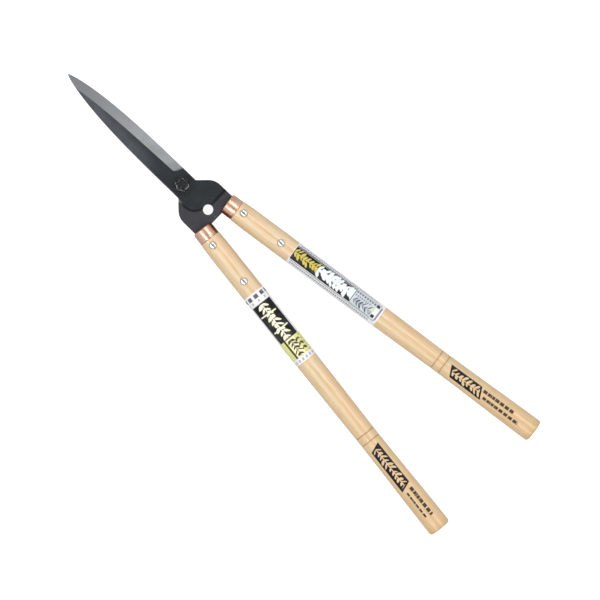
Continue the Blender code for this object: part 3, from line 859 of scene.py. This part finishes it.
def hand_over(piece, node, finish, side="left"):
    """Gives a piece its finish and its body, hides the CAD node it stands for, and prints how well it fills
    that node's box.
    """
    if finish:
        piece.data.materials.clear()
        piece.data.materials.append(finish)
    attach(piece, BODY[side])
    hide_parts(node)
    bpy.context.view_layer.update()
    seen = piece.evaluated_get(bpy.context.evaluated_depsgraph_get())
    points = [seen.matrix_world @ v.co for v in seen.data.vertices]
    low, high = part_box(node)
    off = max(max(abs(min(p[i] for p in points) - low[i]), abs(max(p[i] for p in points) - high[i]))
              for i in range(3))
    print(f"{piece.name}: {len(seen.data.polygons)} faces, within {off / MM:.1f} mm of {node}")


def cut(piece, tool_mesh, matrix=None, operation="DIFFERENCE"):
    """Applies one Boolean and throws the tool away."""
    tool = place_piece("tool", tool_mesh, piece.matrix_world @ (matrix or Matrix.Identity(4)))
    boolean = piece.modifiers.new("cut", "BOOLEAN")
    boolean.operation = operation
    boolean.solver = "EXACT"
    boolean.object = tool
    seen = piece.evaluated_get(bpy.context.evaluated_depsgraph_get())
    result = bpy.data.meshes.new_from_object(seen)
    piece.modifiers.clear()
    piece.data = result
    bpy.data.objects.remove(tool, do_unlink=True)


washer_like = turned_mesh("test", soft_ring(5 * MM, 2 * MM, 0, MM), 8, closed=True)
print("a test ring has", len(washer_like.polygons), "faces")

# %% [markdown]
# ### Handles
# A handle is turned between centres: full behind the ferrule, slimmer two thirds of the way down, and full
# again at the butt, with two fine decorative grooves. Its diameters are listed at a few lengths and a smooth
# line is drawn through them. The butt is rounded over, the front end is a spigot inside the ferrule, and the
# tang's mortise and the rivet holes are cut out of it.

# %% Handle profile
DIAMETERS = (                             # length along the handle and diameter there, in millimetres
    (16, 25.6), (30, 26.5), (60, 26.7), (110, 26.7), (190, 26.3), (245, 25.4),
    (300, 24.5), (340, 25), (380, 26.2), (415, 26.9), (428.7, 27),
)
HANDLE_END = 431.7 * MM
BUTT_ROUND = 3 * MM
SHOULDER_AT = 14.4 * MM
SPIGOT_RADIUS = 10.8 * MM
SPIGOT_START = 1.6 * MM
GROOVE_DEPTH = 0.5 * MM
GROOVE_RADIUS = 0.95 * MM


def wood_radius(along):
    """Radius of the bare wood at a length from the ferrule's front."""
    points = [(s * MM, d * MM / 2) for s, d in DIAMETERS]
    along = min(max(along, points[0][0]), points[-1][0])
    i = max(k for k in range(len(points) - 1) if points[k][0] <= along)
    (s1, r1), (s2, r2) = points[i], points[i + 1]
    s0, r0 = points[max(i - 1, 0)]
    s3, r3 = points[min(i + 2, len(points) - 1)]
    slope1 = (r2 - r0) / (s2 - s0)
    slope2 = (r3 - r1) / (s3 - s1)
    t = (along - s1) / (s2 - s1)
    hermite = (2 * t**3 - 3 * t**2 + 1) * r1 + (3 * t**2 - 2 * t**3) * r2
    return hermite + ((t**3 - 2 * t**2 + t) * slope1 + (t**3 - t**2) * slope2) * (s2 - s1)


def grooved_radius(along):
    """The same, with a round-bottomed groove at each of the two places."""
    radius = wood_radius(along)
    for groove in GROOVES:
        off = abs(along - groove * MM) / GROOVE_RADIUS
        if off < 1:
            radius -= GROOVE_DEPTH * math.cos(off * math.pi / 2) ** 2
    return radius


print("slimmest", round(min(wood_radius(s * MM) for s in range(16, 420)) * 2 / MM, 1), "mm across")

# %% Handle section
WOOD_STEP = 4 * MM
GROOVE_STEP = 0.15 * MM
FRONT_ROUND = 0.7 * MM


def handle_section():
    last = DIAMETERS[-1][0] * MM
    widest = wood_radius(last)
    butt = [(0, HANDLE_END), (widest * 0.5, HANDLE_END)]
    butt += arc((widest - BUTT_ROUND, HANDLE_END - BUTT_ROUND), BUTT_ROUND, 90, 8, 9)
    first = SHOULDER_AT + FRONT_ROUND
    count = round((last - first) / WOOD_STEP)
    places = [first + (last - first) * i / count for i in range(count + 1)]
    reach = round(GROOVE_RADIUS / GROOVE_STEP)
    for middle in (groove * MM for groove in GROOVES):
        places = [s for s in places if abs(s - middle) > 1.2 * GROOVE_RADIUS]
        places += [middle + i * GROOVE_STEP for i in range(-reach, reach + 1)]
    body = [(grooved_radius(s), s) for s in sorted(places, reverse=True)]
    shoulder = wood_radius(SHOULDER_AT)
    front = arc((shoulder - FRONT_ROUND, first), FRONT_ROUND, -20, -90, 5)
    front += [(SPIGOT_RADIUS, SHOULDER_AT), (SPIGOT_RADIUS, SPIGOT_START), (0, SPIGOT_START)]
    return butt + body + front


print("handle section has", len(handle_section()), "points")

# %% [markdown]
# ### Rivets in the wood
# Two rivets pin each tang. The head is drawn a little into the wood on the upper side. Underneath, a deeper
# counterbore hides a burr washer and the hammered tail, so that the handle rests on wood and not on steel.

# %% Handles
RIVET_AT = {"front": (22.6 * MM, 2.2 * MM), "rear": (76.2 * MM, 0)}      # along, and out to the side
SHANK = 2 * MM
HEAD = 4.3 * MM
SEAT = 0.75 * MM                          # the head sits this deep in the wood
TAIL_SEAT = 3.3 * MM                      # depth of the counterbore on the underside
BURR = 4.5 * MM
CLEAR = 0.3 * MM
BEYOND = 40 * MM                          # cutting tools reach this far past what they cut
TANG_LENGTH = 95 * MM
TANG_WIDTHS = (12 * MM, 7 * MM)
TANG_HEIGHTS = (6 * MM, 4.5 * MM)
HANDLE_STEPS = 72


def tang_mesh(name, start, grow):
    """Tapered square bar along z: 12 by 6 mm at the neck, 7 by 4.5 mm at its end."""
    work = bmesh.new()
    bmesh.ops.create_cube(work, size=1)
    for vert in work.verts:
        at_end = vert.co.z > 0
        vert.co.x *= TANG_HEIGHTS[at_end] + 2 * grow
        vert.co.y *= TANG_WIDTHS[at_end] + 2 * grow
        vert.co.z = TANG_LENGTH + grow if at_end else start
    return mesh_from(work, name)


def wood_above(end):
    """Height of the wood over the handle's axis where a rivet comes out."""
    along, across = RIVET_AT[end]
    return math.sqrt(wood_radius(along) ** 2 - across ** 2)


def rivet_hole(end):
    """What a rivet takes out of the wood, as a half section along the rivet, its head end first."""
    wood = wood_above(end)
    seat = wood - SEAT
    roof = TAIL_SEAT - wood
    return [(0, BEYOND), (HEAD + 1.3 * MM, BEYOND), (HEAD + 1.3 * MM, wood + 0.1 * MM),
            (HEAD + 0.2 * MM, wood - 0.35 * MM), (HEAD + 0.2 * MM, seat), (SHANK + CLEAR, seat),
            (SHANK + CLEAR, roof), (BURR + CLEAR, roof), (BURR + CLEAR, -BEYOND), (0, -BEYOND)]


def across_handle(side, end):
    """Frame of a rivet inside the handle's frame: its own z points up, out of the wood."""
    axes = Matrix(((0, 0, 1), (0, 1, 0), (-1, 0, 0))).to_4x4()
    along, across = RIVET_AT[end]
    return Matrix.Translation((0, across if side == "left" else -across, along)) @ axes


for side in ("left", "right"):
    mesh = turned_mesh(side + "_handle_oak", handle_section(), HANDLE_STEPS)
    handle = place_piece(side + "_handle_oak", mesh, HANDLE[side])
    cut(handle, tang_mesh("mortise", -1 * MM, CLEAR))
    for end in RIVET_AT:
        cut(handle, turned_mesh("rivet_hole", rivet_hole(end), 40), across_handle(side, end))
    smooth(handle.data, 28)
    hand_over(handle, side + "_handle", OAK[side], side)

# %% [markdown]
# ### Ferrules
# A ferrule is a cap pressed from sheet. It keeps the end of the wood from splitting. Its front edge is drawn
# over a radius, there is a fine turned line near its rear rim, and the rim itself is burnished round.

# %% Ferrules
FERRULE_LENGTH = 14.1 * MM
FERRULE_RADIUS = 12.2 * MM
FERRULE_FLARE = 0.2 * MM
FERRULE_BORE = 11.1 * MM
FERRULE_LIP = 7.3 * MM
SHEET = 1.3 * MM
FRONT_BEND = 2 * MM
RIM = 0.35 * MM


def ferrule_section():
    rear = FERRULE_RADIUS + FERRULE_FLARE
    rim = arc((rear - RIM, FERRULE_LENGTH - RIM), RIM, 90, 0, 6)
    line_at = FERRULE_LENGTH - 2.2 * MM
    line = [(rear - 0.02 * MM, line_at + 0.3 * MM), (rear - 0.16 * MM, line_at),
            (rear - 0.05 * MM, line_at - 0.3 * MM)]
    wall = [(FERRULE_RADIUS + FERRULE_FLARE * s, FRONT_BEND + (line_at - FRONT_BEND) * s)
            for s in (0.85, 0.6, 0.35, 0.12)]
    bend = arc((FERRULE_RADIUS - FRONT_BEND, FRONT_BEND), FRONT_BEND, 0, -90, 12)
    lip = arc((FERRULE_LIP + RIM, RIM), RIM, -90, -180, 5)
    inside = [(FERRULE_LIP, SHEET), (FERRULE_BORE, SHEET)]
    return [(FERRULE_BORE, FERRULE_LENGTH)] + rim + line + wall + bend + lip + inside


for side in ("left", "right"):
    ferrule = turned_piece(side + "_ferrule_copper", ferrule_section(), 96, HANDLE[side], closed=True)
    hand_over(ferrule, side + "_ferrule", COPPER[side], side)

# %% [markdown]
# ### Rivets and burrs
# The head is a low dome. The tail is the same, smaller, because it was hammered down cold over its washer.

# %% Rivets
DOME = 2.2 * MM
TAIL_RADIUS = 3.3 * MM
TAIL_DOME = 1.2 * MM
BURR_HEIGHT = 0.8 * MM
DOME_STEPS = 9


def dome(radius, height, base):
    """Half section of a dome from its top down to its rim."""
    angles = (math.radians(90 - 90 * i / DOME_STEPS) for i in range(DOME_STEPS + 1))
    return [(radius * math.cos(a) if a < 1.57 else 0, base + height * math.sin(a)) for a in angles]


def rivet_section(wood):
    under_head = wood - SEAT + CLEAR
    tail_top = TAIL_SEAT - wood - BURR_HEIGHT - 2 * CLEAR
    tail = [(r, 2 * tail_top - z) for r, z in reversed(dome(TAIL_RADIUS, TAIL_DOME, tail_top))]
    return dome(HEAD, DOME, under_head) + [(SHANK, under_head), (SHANK, tail_top)] + tail


for side in ("left", "right"):
    for end in RIVET_AT:
        place = HANDLE[side] @ across_handle(side, end)
        name = f"{side}_{end}_rivet"
        wood = wood_above(end)
        rivet = turned_piece(name + "_steel", rivet_section(wood), 40, place, 50)
        hand_over(rivet, name, BRIGHT, side)
        ring = soft_ring(BURR, SHANK + CLEAR, TAIL_SEAT - wood - CLEAR - BURR_HEIGHT, BURR_HEIGHT)
        burr = turned_piece(name + "_burr", ring, 40, place, closed=True)
        hand_over(burr, name + "_washer", BRIGHT, side)

# %% [markdown]
# ### Films
# The film is a strip of printed plastic that follows the handle's swelling. Its two edges stop short of
# each other underneath.

# %% Films
FILM_START = 92.7 * MM
FILM_ENDS = {"left": 188.7 * MM, "right": 214.7 * MM}
FILM_LIFT = 0.06 * MM
FILM_THICKNESS = 0.16 * MM
FILM_WRAP = math.radians(290)
FILM_STEP = 2 * MM


def film_section(start, end):
    count = round((end - start) / FILM_STEP)
    lengths = [end + (start - end) * i / count for i in range(count + 1)]
    outside = [(wood_radius(s) + FILM_LIFT + FILM_THICKNESS, s) for s in lengths]
    inside = [(wood_radius(s) + FILM_LIFT, s) for s in reversed(lengths)]
    return outside + inside


for side in ("left", "right"):
    section = film_section(FILM_START, FILM_ENDS[side])
    film = turned_piece(side + "_label_film", section, 116, HANDLE[side], sweep=FILM_WRAP, closed=True)
    hand_over(film, side + "_label", FILM[side], side)

# %% [markdown]
# ## Blades
# Both blades come from the same die. Seen from above, one closed outline holds the blade, the shoulder, the
# round nose and the neck; that outline is made into a thick slab, and then ground and milled with Boolean
# cuts, much as a smith and a grinder would do it:
# 1. room for the other half, below the sliding face,
# 2. the step from the thick plate down to the neck,
# 3. the taper of the back towards the tip,
# 4. the ground bevel, with the hollow that the edge of the wheel leaves where it stopped,
# 5. the pivot hole, and the tang welded on behind.

# %% Blade outline
BLADE_LENGTH = 180.5 * MM
BLADE_HALF_WIDTH = 14.3 * MM
SPINE_INSET = 0.9 * MM
FACE_Z = 0.15 * MM
PLATE_TOP = 5.65 * MM
TIP_TOP = 2.6 * MM
TAPER_START = 15 * MM
NECK_HALF = 3.2 * MM
NOSE_RADIUS = 14.8 * MM
NOSE_CENTRE = (-19.2 * MM, 0.4 * MM)
HOLE_RADIUS = 5.9 * MM
HOLE_X = -39.9 * MM
CROTCH_X = -53.7 * MM
NECK_OUTSIDE = -29.9 * MM
TOUCHING = 0.04 * MM                      # left between faces that rest on each other
CLOSED = 0.01 * MM                        # left at the crotch, where the halves stop against each other
FERRULE_SIDE = Vector((FERRULE_AT[0], -FERRULE_AT[1]))


def beside_handle(along, across):
    """Point beside the right handle's axis, in the half's x and y."""
    back = Vector((-math.cos(HANDLE_ANGLE), -math.sin(HANDLE_ANGLE)))
    outside = Vector((math.sin(HANDLE_ANGLE), -math.cos(HANDLE_ANGLE)))
    return FERRULE_SIDE + back * along + outside * across


def narrowing(x):
    return (1 - min(max(x, 0) / BLADE_LENGTH, 1) ** 3.05) ** 0.75


def outer_face(x):
    return PLATE_TOP - (PLATE_TOP - TIP_TOP) / (BLADE_LENGTH - TAPER_START) * (x - TAPER_START)


def forging_outline(stations=64):
    ahead = [BLADE_LENGTH * (1 - (1 - i / stations) ** 1.7) for i in range(stations + 1)]
    edge = [(x, -BLADE_HALF_WIDTH * narrowing(x)) for x in ahead]
    spine = [(x, (BLADE_HALF_WIDTH - SPINE_INSET) * narrowing(x)) for x in ahead[:-1]]
    nose = arc(NOSE_CENTRE, NOSE_RADIUS, 82, 178, 34)
    hole = arc((HOLE_X, 0), HOLE_RADIUS, 0, -179.9, 34)
    slope = math.tan(HANDLE_ANGLE)
    bend = arc((FRONT_BEND, FRONT_BEND - FERRULE_RADIUS), FRONT_BEND + TOUCHING, 270, 180, 6)
    bend = [tuple(beside_handle(along, across)) for along, across in bend]
    corner = beside_handle(-TOUCHING, 0)
    crotch = [(CROTCH_X, -CLOSED), (CROTCH_X, bend[0][1] - (bend[0][0] - CROTCH_X) * slope), *bend]
    outside = [(corner.x + (corner.y - NECK_OUTSIDE) * slope, NECK_OUTSIDE)]
    flank = arc((-30.5 * MM, -10.7 * MM), 19.1 * MM, 270, 315, 20)
    root = [(-7 * MM, -BLADE_HALF_WIDTH)]
    return nose + hole + crotch + outside + flank + root + edge + spine[::-1]


print("blade outline has", len(forging_outline()), "points")

# %% Tools that shape the forging
SHOULDER_FRONT = -10 * MM
SHOULDER_CLEAR = -17.7 * MM
STEP_TOP = -36.7 * MM
STEP_FOOT = -40.1 * MM
EDGE_TOP = 0.55 * MM
BEVEL_FULL = 17.2 * MM                    # the bevel has its whole depth from here on
BEVEL_SKEW = 2 * MM                       # its end leans: the edge is twice this ahead of the grind line
BEVEL_WIDTH = 10.3 * MM
BEVEL_SWELL = 1.4 * MM
WHEEL = 2.8 * MM                          # radius of the hollow where the grinding wheel stopped
OVERSHOOT = 0.35


def slab_mesh(name, outline, low, high):
    """A flat outline in x and y, filled between two heights."""
    work = bmesh.new()
    floor_ring = [work.verts.new((x, y, low)) for x, y in outline]
    top_ring = [work.verts.new((x, y, high)) for x, y in outline]
    work.faces.new(floor_ring)
    work.faces.new(top_ring)
    for i in range(len(outline)):
        j = (i + 1) % len(outline)
        work.faces.new((floor_ring[i], floor_ring[j], top_ring[j], top_ring[i]))
    return mesh_from(work, name)


def other_half_outline():
    nose = arc((NOSE_CENTRE[0], -NOSE_CENTRE[1]), NOSE_RADIUS + CLEAR, 270, 180, 34)
    ahead = BLADE_LENGTH + BEYOND
    return [(ahead, BEYOND), (ahead, -BEYOND), (SHOULDER_FRONT, -BEYOND), (SHOULDER_FRONT, SHOULDER_CLEAR),
            *nose, (HOLE_X, FACE_Z), (HOLE_X, BEYOND)]


def step_outline():
    fall = (PLATE_TOP - NECK_HALF) / (STEP_TOP - STEP_FOOT)
    behind = CROTCH_X - BEYOND
    return [(STEP_TOP + MM, PLATE_TOP + MM * fall), (STEP_FOOT, NECK_HALF), (behind, NECK_HALF),
            (behind, BEYOND), (STEP_TOP + MM, BEYOND)]


def taper_outline():
    start = TAPER_START - 10 * MM
    end = BLADE_LENGTH + BEYOND
    return [(start, outer_face(start)), (end, outer_face(end)), (end, BEYOND), (start, BEYOND)]


def bevel_mesh(stations=70):
    """Wedge that grinds the bevel. Its first stations rise along the wheel's own radius."""
    full = [BEVEL_FULL + (BLADE_LENGTH + 6 * MM - BEVEL_FULL) * i / stations for i in range(stations + 1)]
    hollow = [BEVEL_FULL - WHEEL * math.sin(math.radians(a)) for a in range(88, 0, -8)]
    work = bmesh.new()
    rings = []
    for x in hollow + full:
        share = min(max((x - BEVEL_FULL) / (BLADE_LENGTH - BEVEL_FULL), 0), 1)
        width = BEVEL_WIDTH + BEVEL_SWELL * math.sin(math.pi * share)
        back = max(BEVEL_FULL - x, 0)
        lift = WHEEL - math.sqrt(WHEEL**2 - back**2)
        under, over = x - BEVEL_SKEW, x + BEVEL_SKEW
        edge = Vector((under, -BLADE_HALF_WIDTH * narrowing(under), EDGE_TOP + lift))
        grind = Vector((over, -BLADE_HALF_WIDTH * narrowing(over) + width, outer_face(over) + lift))
        low = edge + (edge - grind) * OVERSHOOT
        high = grind + (grind - edge) * OVERSHOOT
        above = [Vector((p.x, p.y, BEYOND)) for p in (high, low)]
        rings.append([work.verts.new(p) for p in (low, high, *above)])
    for ring, ahead in zip(rings, rings[1:]):
        for j in range(4):
            k = (j + 1) % 4
            work.faces.new((ring[j], ring[k], ahead[k], ahead[j]))
    work.faces.new(rings[0])
    work.faces.new(rings[-1])
    return mesh_from(work, "bevel")


print("the bevel leaves", round(EDGE_TOP / MM, 2), "mm at the cutting edge")

# %% [markdown]
# After the cuts every edge would be razor sharp, which forging doesn't leave. Each edge gets a bevel weight
# from where it lies: wide on the shoulder and neck, narrow along the blade's back, and nothing on the cutting
# edge and the grind line. Faces that a wheel touched take the ground finish, the rest keeps its scale.

# %% Rounding and finishing a forging
BOLT_RADIUS = 4 * MM
BOLT_SQUARE = 8.2 * MM
BOLT_SQUARE_HEIGHT = 4 * MM
TANG_ROOT = -8 * MM
WELD = 0.002 * MM                         # points closer than this become one
CREASE = math.radians(14)                 # a flatter edge is left as it is
SOFT = math.radians(7)                    # a flatter edge is shaded smooth
ROUNDING = 0.9 * MM
ALONG_BLADE, AT_CROTCH, INSIDE, OUTSIDE = 0.45, 0.12, 0.25, 0.8    # shares of the full rounding
BEVEL_START = BEVEL_FULL - WHEEL - BEVEL_SKEW - 0.5 * MM


def edge_rounding(edge, on_grind_line, angle):
    """Share of the full rounding that this edge takes."""
    middle = (edge.verts[0].co + edge.verts[1].co) / 2
    if angle < CREASE:
        return 0
    if middle.x > BEVEL_START and (middle.z < EDGE_TOP + 0.2 * MM or on_grind_line):
        return 0
    if middle.x > 0:
        return ALONG_BLADE * (0.25 + 0.75 * narrowing(middle.x))
    if middle.x < HOLE_X and middle.y > -FERRULE_RADIUS:
        return 0 if middle.y > -MM else AT_CROTCH
    if middle.z < FACE_Z + 0.05 * MM and middle.x > CROTCH_X + 2 * MM:
        return INSIDE
    return OUTSIDE


def on_bevel(face):
    """Faces that the wheel ground: they look up and towards the cutting edge."""
    middle = face.calc_center_median()
    leaning = face.normal.z > 0.1 and face.normal.y < -0.05
    hollow = face.normal.x > 0.2 and middle.x < BEVEL_FULL + 2 * BEVEL_SKEW and middle.y < 0
    return middle.x > BEVEL_START and (leaning or hollow)


def rod(radius):
    return [(0, BEYOND), (radius, BEYOND), (radius, -BEYOND), (0, -BEYOND)]


def square(side):
    half = side / 2
    return [(half, half), (-half, half), (-half, -half), (half, -half)]


def forging(name, half, square_neck):
    """The slab with all its cuts and its tang."""
    piece = place_piece(name, slab_mesh(name, forging_outline(), -NECK_HALF, PLATE_TOP), HALF[half])
    sideways = Matrix.Rotation(math.pi / 2, 4, "X")
    cut(piece, slab_mesh("other_half", other_half_outline(), -BEYOND, FACE_Z))
    cut(piece, slab_mesh("step", step_outline(), -BEYOND, BEYOND), sideways)
    cut(piece, slab_mesh("taper", taper_outline(), -BEYOND, BEYOND), sideways)
    cut(piece, bevel_mesh())
    cut(piece, turned_mesh("bore", rod(BOLT_RADIUS + CLEAR), 48))
    in_half = HALF[half].inverted() @ HANDLE[half]
    cut(piece, tang_mesh("tang", TANG_ROOT, 0), in_half, "UNION")
    for end in RIVET_AT:
        cut(piece, turned_mesh("rivet_bore", rod(SHANK + CLEAR), 32), in_half @ across_handle(half, end))
    if square_neck:
        corners = square(BOLT_SQUARE + 2 * CLEAR)
        cut(piece, slab_mesh("square", corners, PLATE_TOP - BOLT_SQUARE_HEIGHT - CLEAR, BEYOND))
    return piece


def finish_forging(piece):
    """Scale and ground faces, and a rounding of every edge."""
    piece.data.materials.clear()
    piece.data.materials.append(FORGED)
    piece.data.materials.append(GROUND)
    work = bmesh.new()
    work.from_mesh(piece.data)
    bmesh.ops.remove_doubles(work, verts=work.verts, dist=WELD)
    bmesh.ops.dissolve_degenerate(work, edges=work.edges, dist=WELD)
    weights = work.edges.layers.float.new("bevel_weight_edge")
    for face in work.faces:
        flat_side = face.normal.z < -0.9 and face.calc_center_median().z > -MM
        face.material_index = 1 if on_bevel(face) or flat_side else 0
        face.smooth = True
    for edge in work.edges:
        angle = edge.calc_face_angle(0)
        edge.smooth = angle < SOFT
        touches = any(face.material_index for face in edge.link_faces)
        edge[weights] = edge_rounding(edge, touches and edge.verts[0].co.z > FACE_Z + 0.1 * MM, angle)
    work.to_mesh(piece.data)
    work.free()
    rounding = piece.modifiers.new("rounding", "BEVEL")
    rounding.limit_method = "WEIGHT"
    rounding.width = ROUNDING
    rounding.segments = 3
    rounding.use_clamp_overlap = False
    rounding.harden_normals = True


for node, half, square_neck in (("upper_blade", "right", False), ("lower_blade", "left", True)):
    piece = forging(node + "_steel", half, square_neck)
    finish_forging(piece)
    hand_over(piece, node, None, half)

# %% [markdown]
# ### Pivot
# The blades turn on one bolt, which belongs to the left half. Its domed head and square neck are underneath,
# in the lower blade; on top come a plain washer, a split spring washer and the nut. The thread is real: the
# radius of each ring is lowered where the helix passes.

# %% Bolt
BOLT_HEAD_RADIUS = 9.5 * MM
BOLT_HEAD_HEIGHT = 4.2 * MM
HEAD_RIM = 1.2 * MM
WASHER = (9.6 * MM, 1.2 * MM)             # radius, height
SPRING = (6.7 * MM, 1.3 * MM)
NUT_FLATS = 14 * MM
NUT_HEIGHT = 6 * MM
WASHER_AT = PLATE_TOP + CLEAR
SPRING_AT = WASHER_AT + WASHER[1] + CLEAR
NUT_AT = SPRING_AT + SPRING[1] + CLEAR
BOLT_TOP = NUT_AT + NUT_HEIGHT + 1.1 * MM
THREAD_PITCH = 1.25 * MM
THREAD_DEPTH = 0.6 * MM
THREAD_RING = 0.14 * MM                   # between two rings of the thread's mesh
BOLT_CHAMFER = 0.6 * MM


def bolt_section():
    top, foot = BOLT_TOP - BOLT_CHAMFER, WASHER_AT
    rings = round((top - foot) / THREAD_RING)
    thread = [(BOLT_RADIUS, top + (foot - top) * i / rings) for i in range(rings + 1)]
    rim = 0.3 * MM
    under = -WASHER_AT
    head = [(BOLT_RADIUS, under), (BOLT_HEAD_RADIUS - rim, under), (BOLT_HEAD_RADIUS, under - rim)]
    crown = reversed(dome(BOLT_HEAD_RADIUS, BOLT_HEAD_HEIGHT - HEAD_RIM, 0))
    bottom = [(r, under - HEAD_RIM - z) for r, z in crown]
    return [(0, BOLT_TOP), (BOLT_RADIUS - BOLT_CHAMFER, BOLT_TOP)] + thread + head + bottom


def cut_thread(mesh):
    for vert in mesh.vertices:
        radius = math.hypot(vert.co.x, vert.co.y)
        if vert.co.z < WASHER_AT + 1e-6 or radius < BOLT_RADIUS - 1e-6:
            continue
        turn = (vert.co.z / THREAD_PITCH - math.atan2(vert.co.y, vert.co.x) / (2 * math.pi)) % 1
        depth = THREAD_DEPTH * abs(2 * turn - 1)
        vert.co.x *= (radius - depth) / radius
        vert.co.y *= (radius - depth) / radius


mesh = turned_mesh("pivot_bolt_steel", bolt_section(), 48)
cut_thread(mesh)
smooth(mesh, 45)
bolt = place_piece("pivot_bolt_steel", mesh, HALF["right"])
inside_head = -WASHER_AT - 0.6 * MM
neck_top = BOLT_SQUARE_HEIGHT - PLATE_TOP
cut(bolt, slab_mesh("square_neck", square(BOLT_SQUARE), inside_head, neck_top), operation="UNION")
smooth(bolt.data, 40)
hand_over(bolt, "pivot_bolt", BLACKENED)

# %% Washers and nut
SPLIT = math.radians(348)                 # the spring washer is cut through here
STACK = (("pivot_washer", WASHER, WASHER_AT, FULL_TURN), ("pivot_spring_washer", SPRING, SPRING_AT, SPLIT))
NUT_TOP = NUT_AT + NUT_HEIGHT
TAPPED = BOLT_RADIUS + CLEAR

for name, (radius, height), base, sweep in STACK:
    ring = soft_ring(radius, TAPPED, base, height)
    washer = turned_piece(name + "_steel", ring, 72, HALF["right"], sweep=sweep, closed=True)
    hand_over(washer, name, BLACKENED)

corner = NUT_FLATS / 2 / math.cos(math.pi / 6)
mesh = slab_mesh("pivot_nut_steel", arc((0, 0), corner, 30, 330, 6), NUT_AT, NUT_TOP)
nut = place_piece("pivot_nut_steel", mesh, HALF["right"])
cone = [(0, NUT_TOP + MM), (NUT_FLATS / 2 - 1.7 * MM, NUT_TOP + MM), (corner + MM, NUT_TOP - 0.9 * MM),
        (corner + MM, NUT_AT + 0.4 * MM), (NUT_FLATS / 2, NUT_AT - 0.6 * MM), (0, NUT_AT - 0.6 * MM)]
cut(nut, turned_mesh("chamfer", cone, 96), operation="INTERSECT")
countersink = [(0, NUT_TOP + MM), (TAPPED + 1.7 * MM, NUT_TOP + MM), (TAPPED, NUT_TOP - 0.7 * MM),
               (TAPPED, NUT_AT - MM), (0, NUT_AT - MM)]
cut(nut, turned_mesh("tapped_hole", countersink, 64))
smooth(nut.data, 25)
edges = nut.modifiers.new("broken_edges", "BEVEL")
edges.width = 0.15 * MM
edges.segments = 2
edges.limit_method = "ANGLE"
edges.angle_limit = math.radians(25)
edges.harden_normals = True
hand_over(nut, "pivot_nut", GRIPPED)

# %% [markdown]
# ## Measure and finish
# The two boxes show how far the dressed model strays from the space that the imported model fills.

# %% Measure and finish
new_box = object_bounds()
for corner, new, old in zip(("low", "high"), new_box, cad_box):
    print(corner, "corner moved by", [round((n - c) / MM, 2) for n, c in zip(new, old)], "mm")
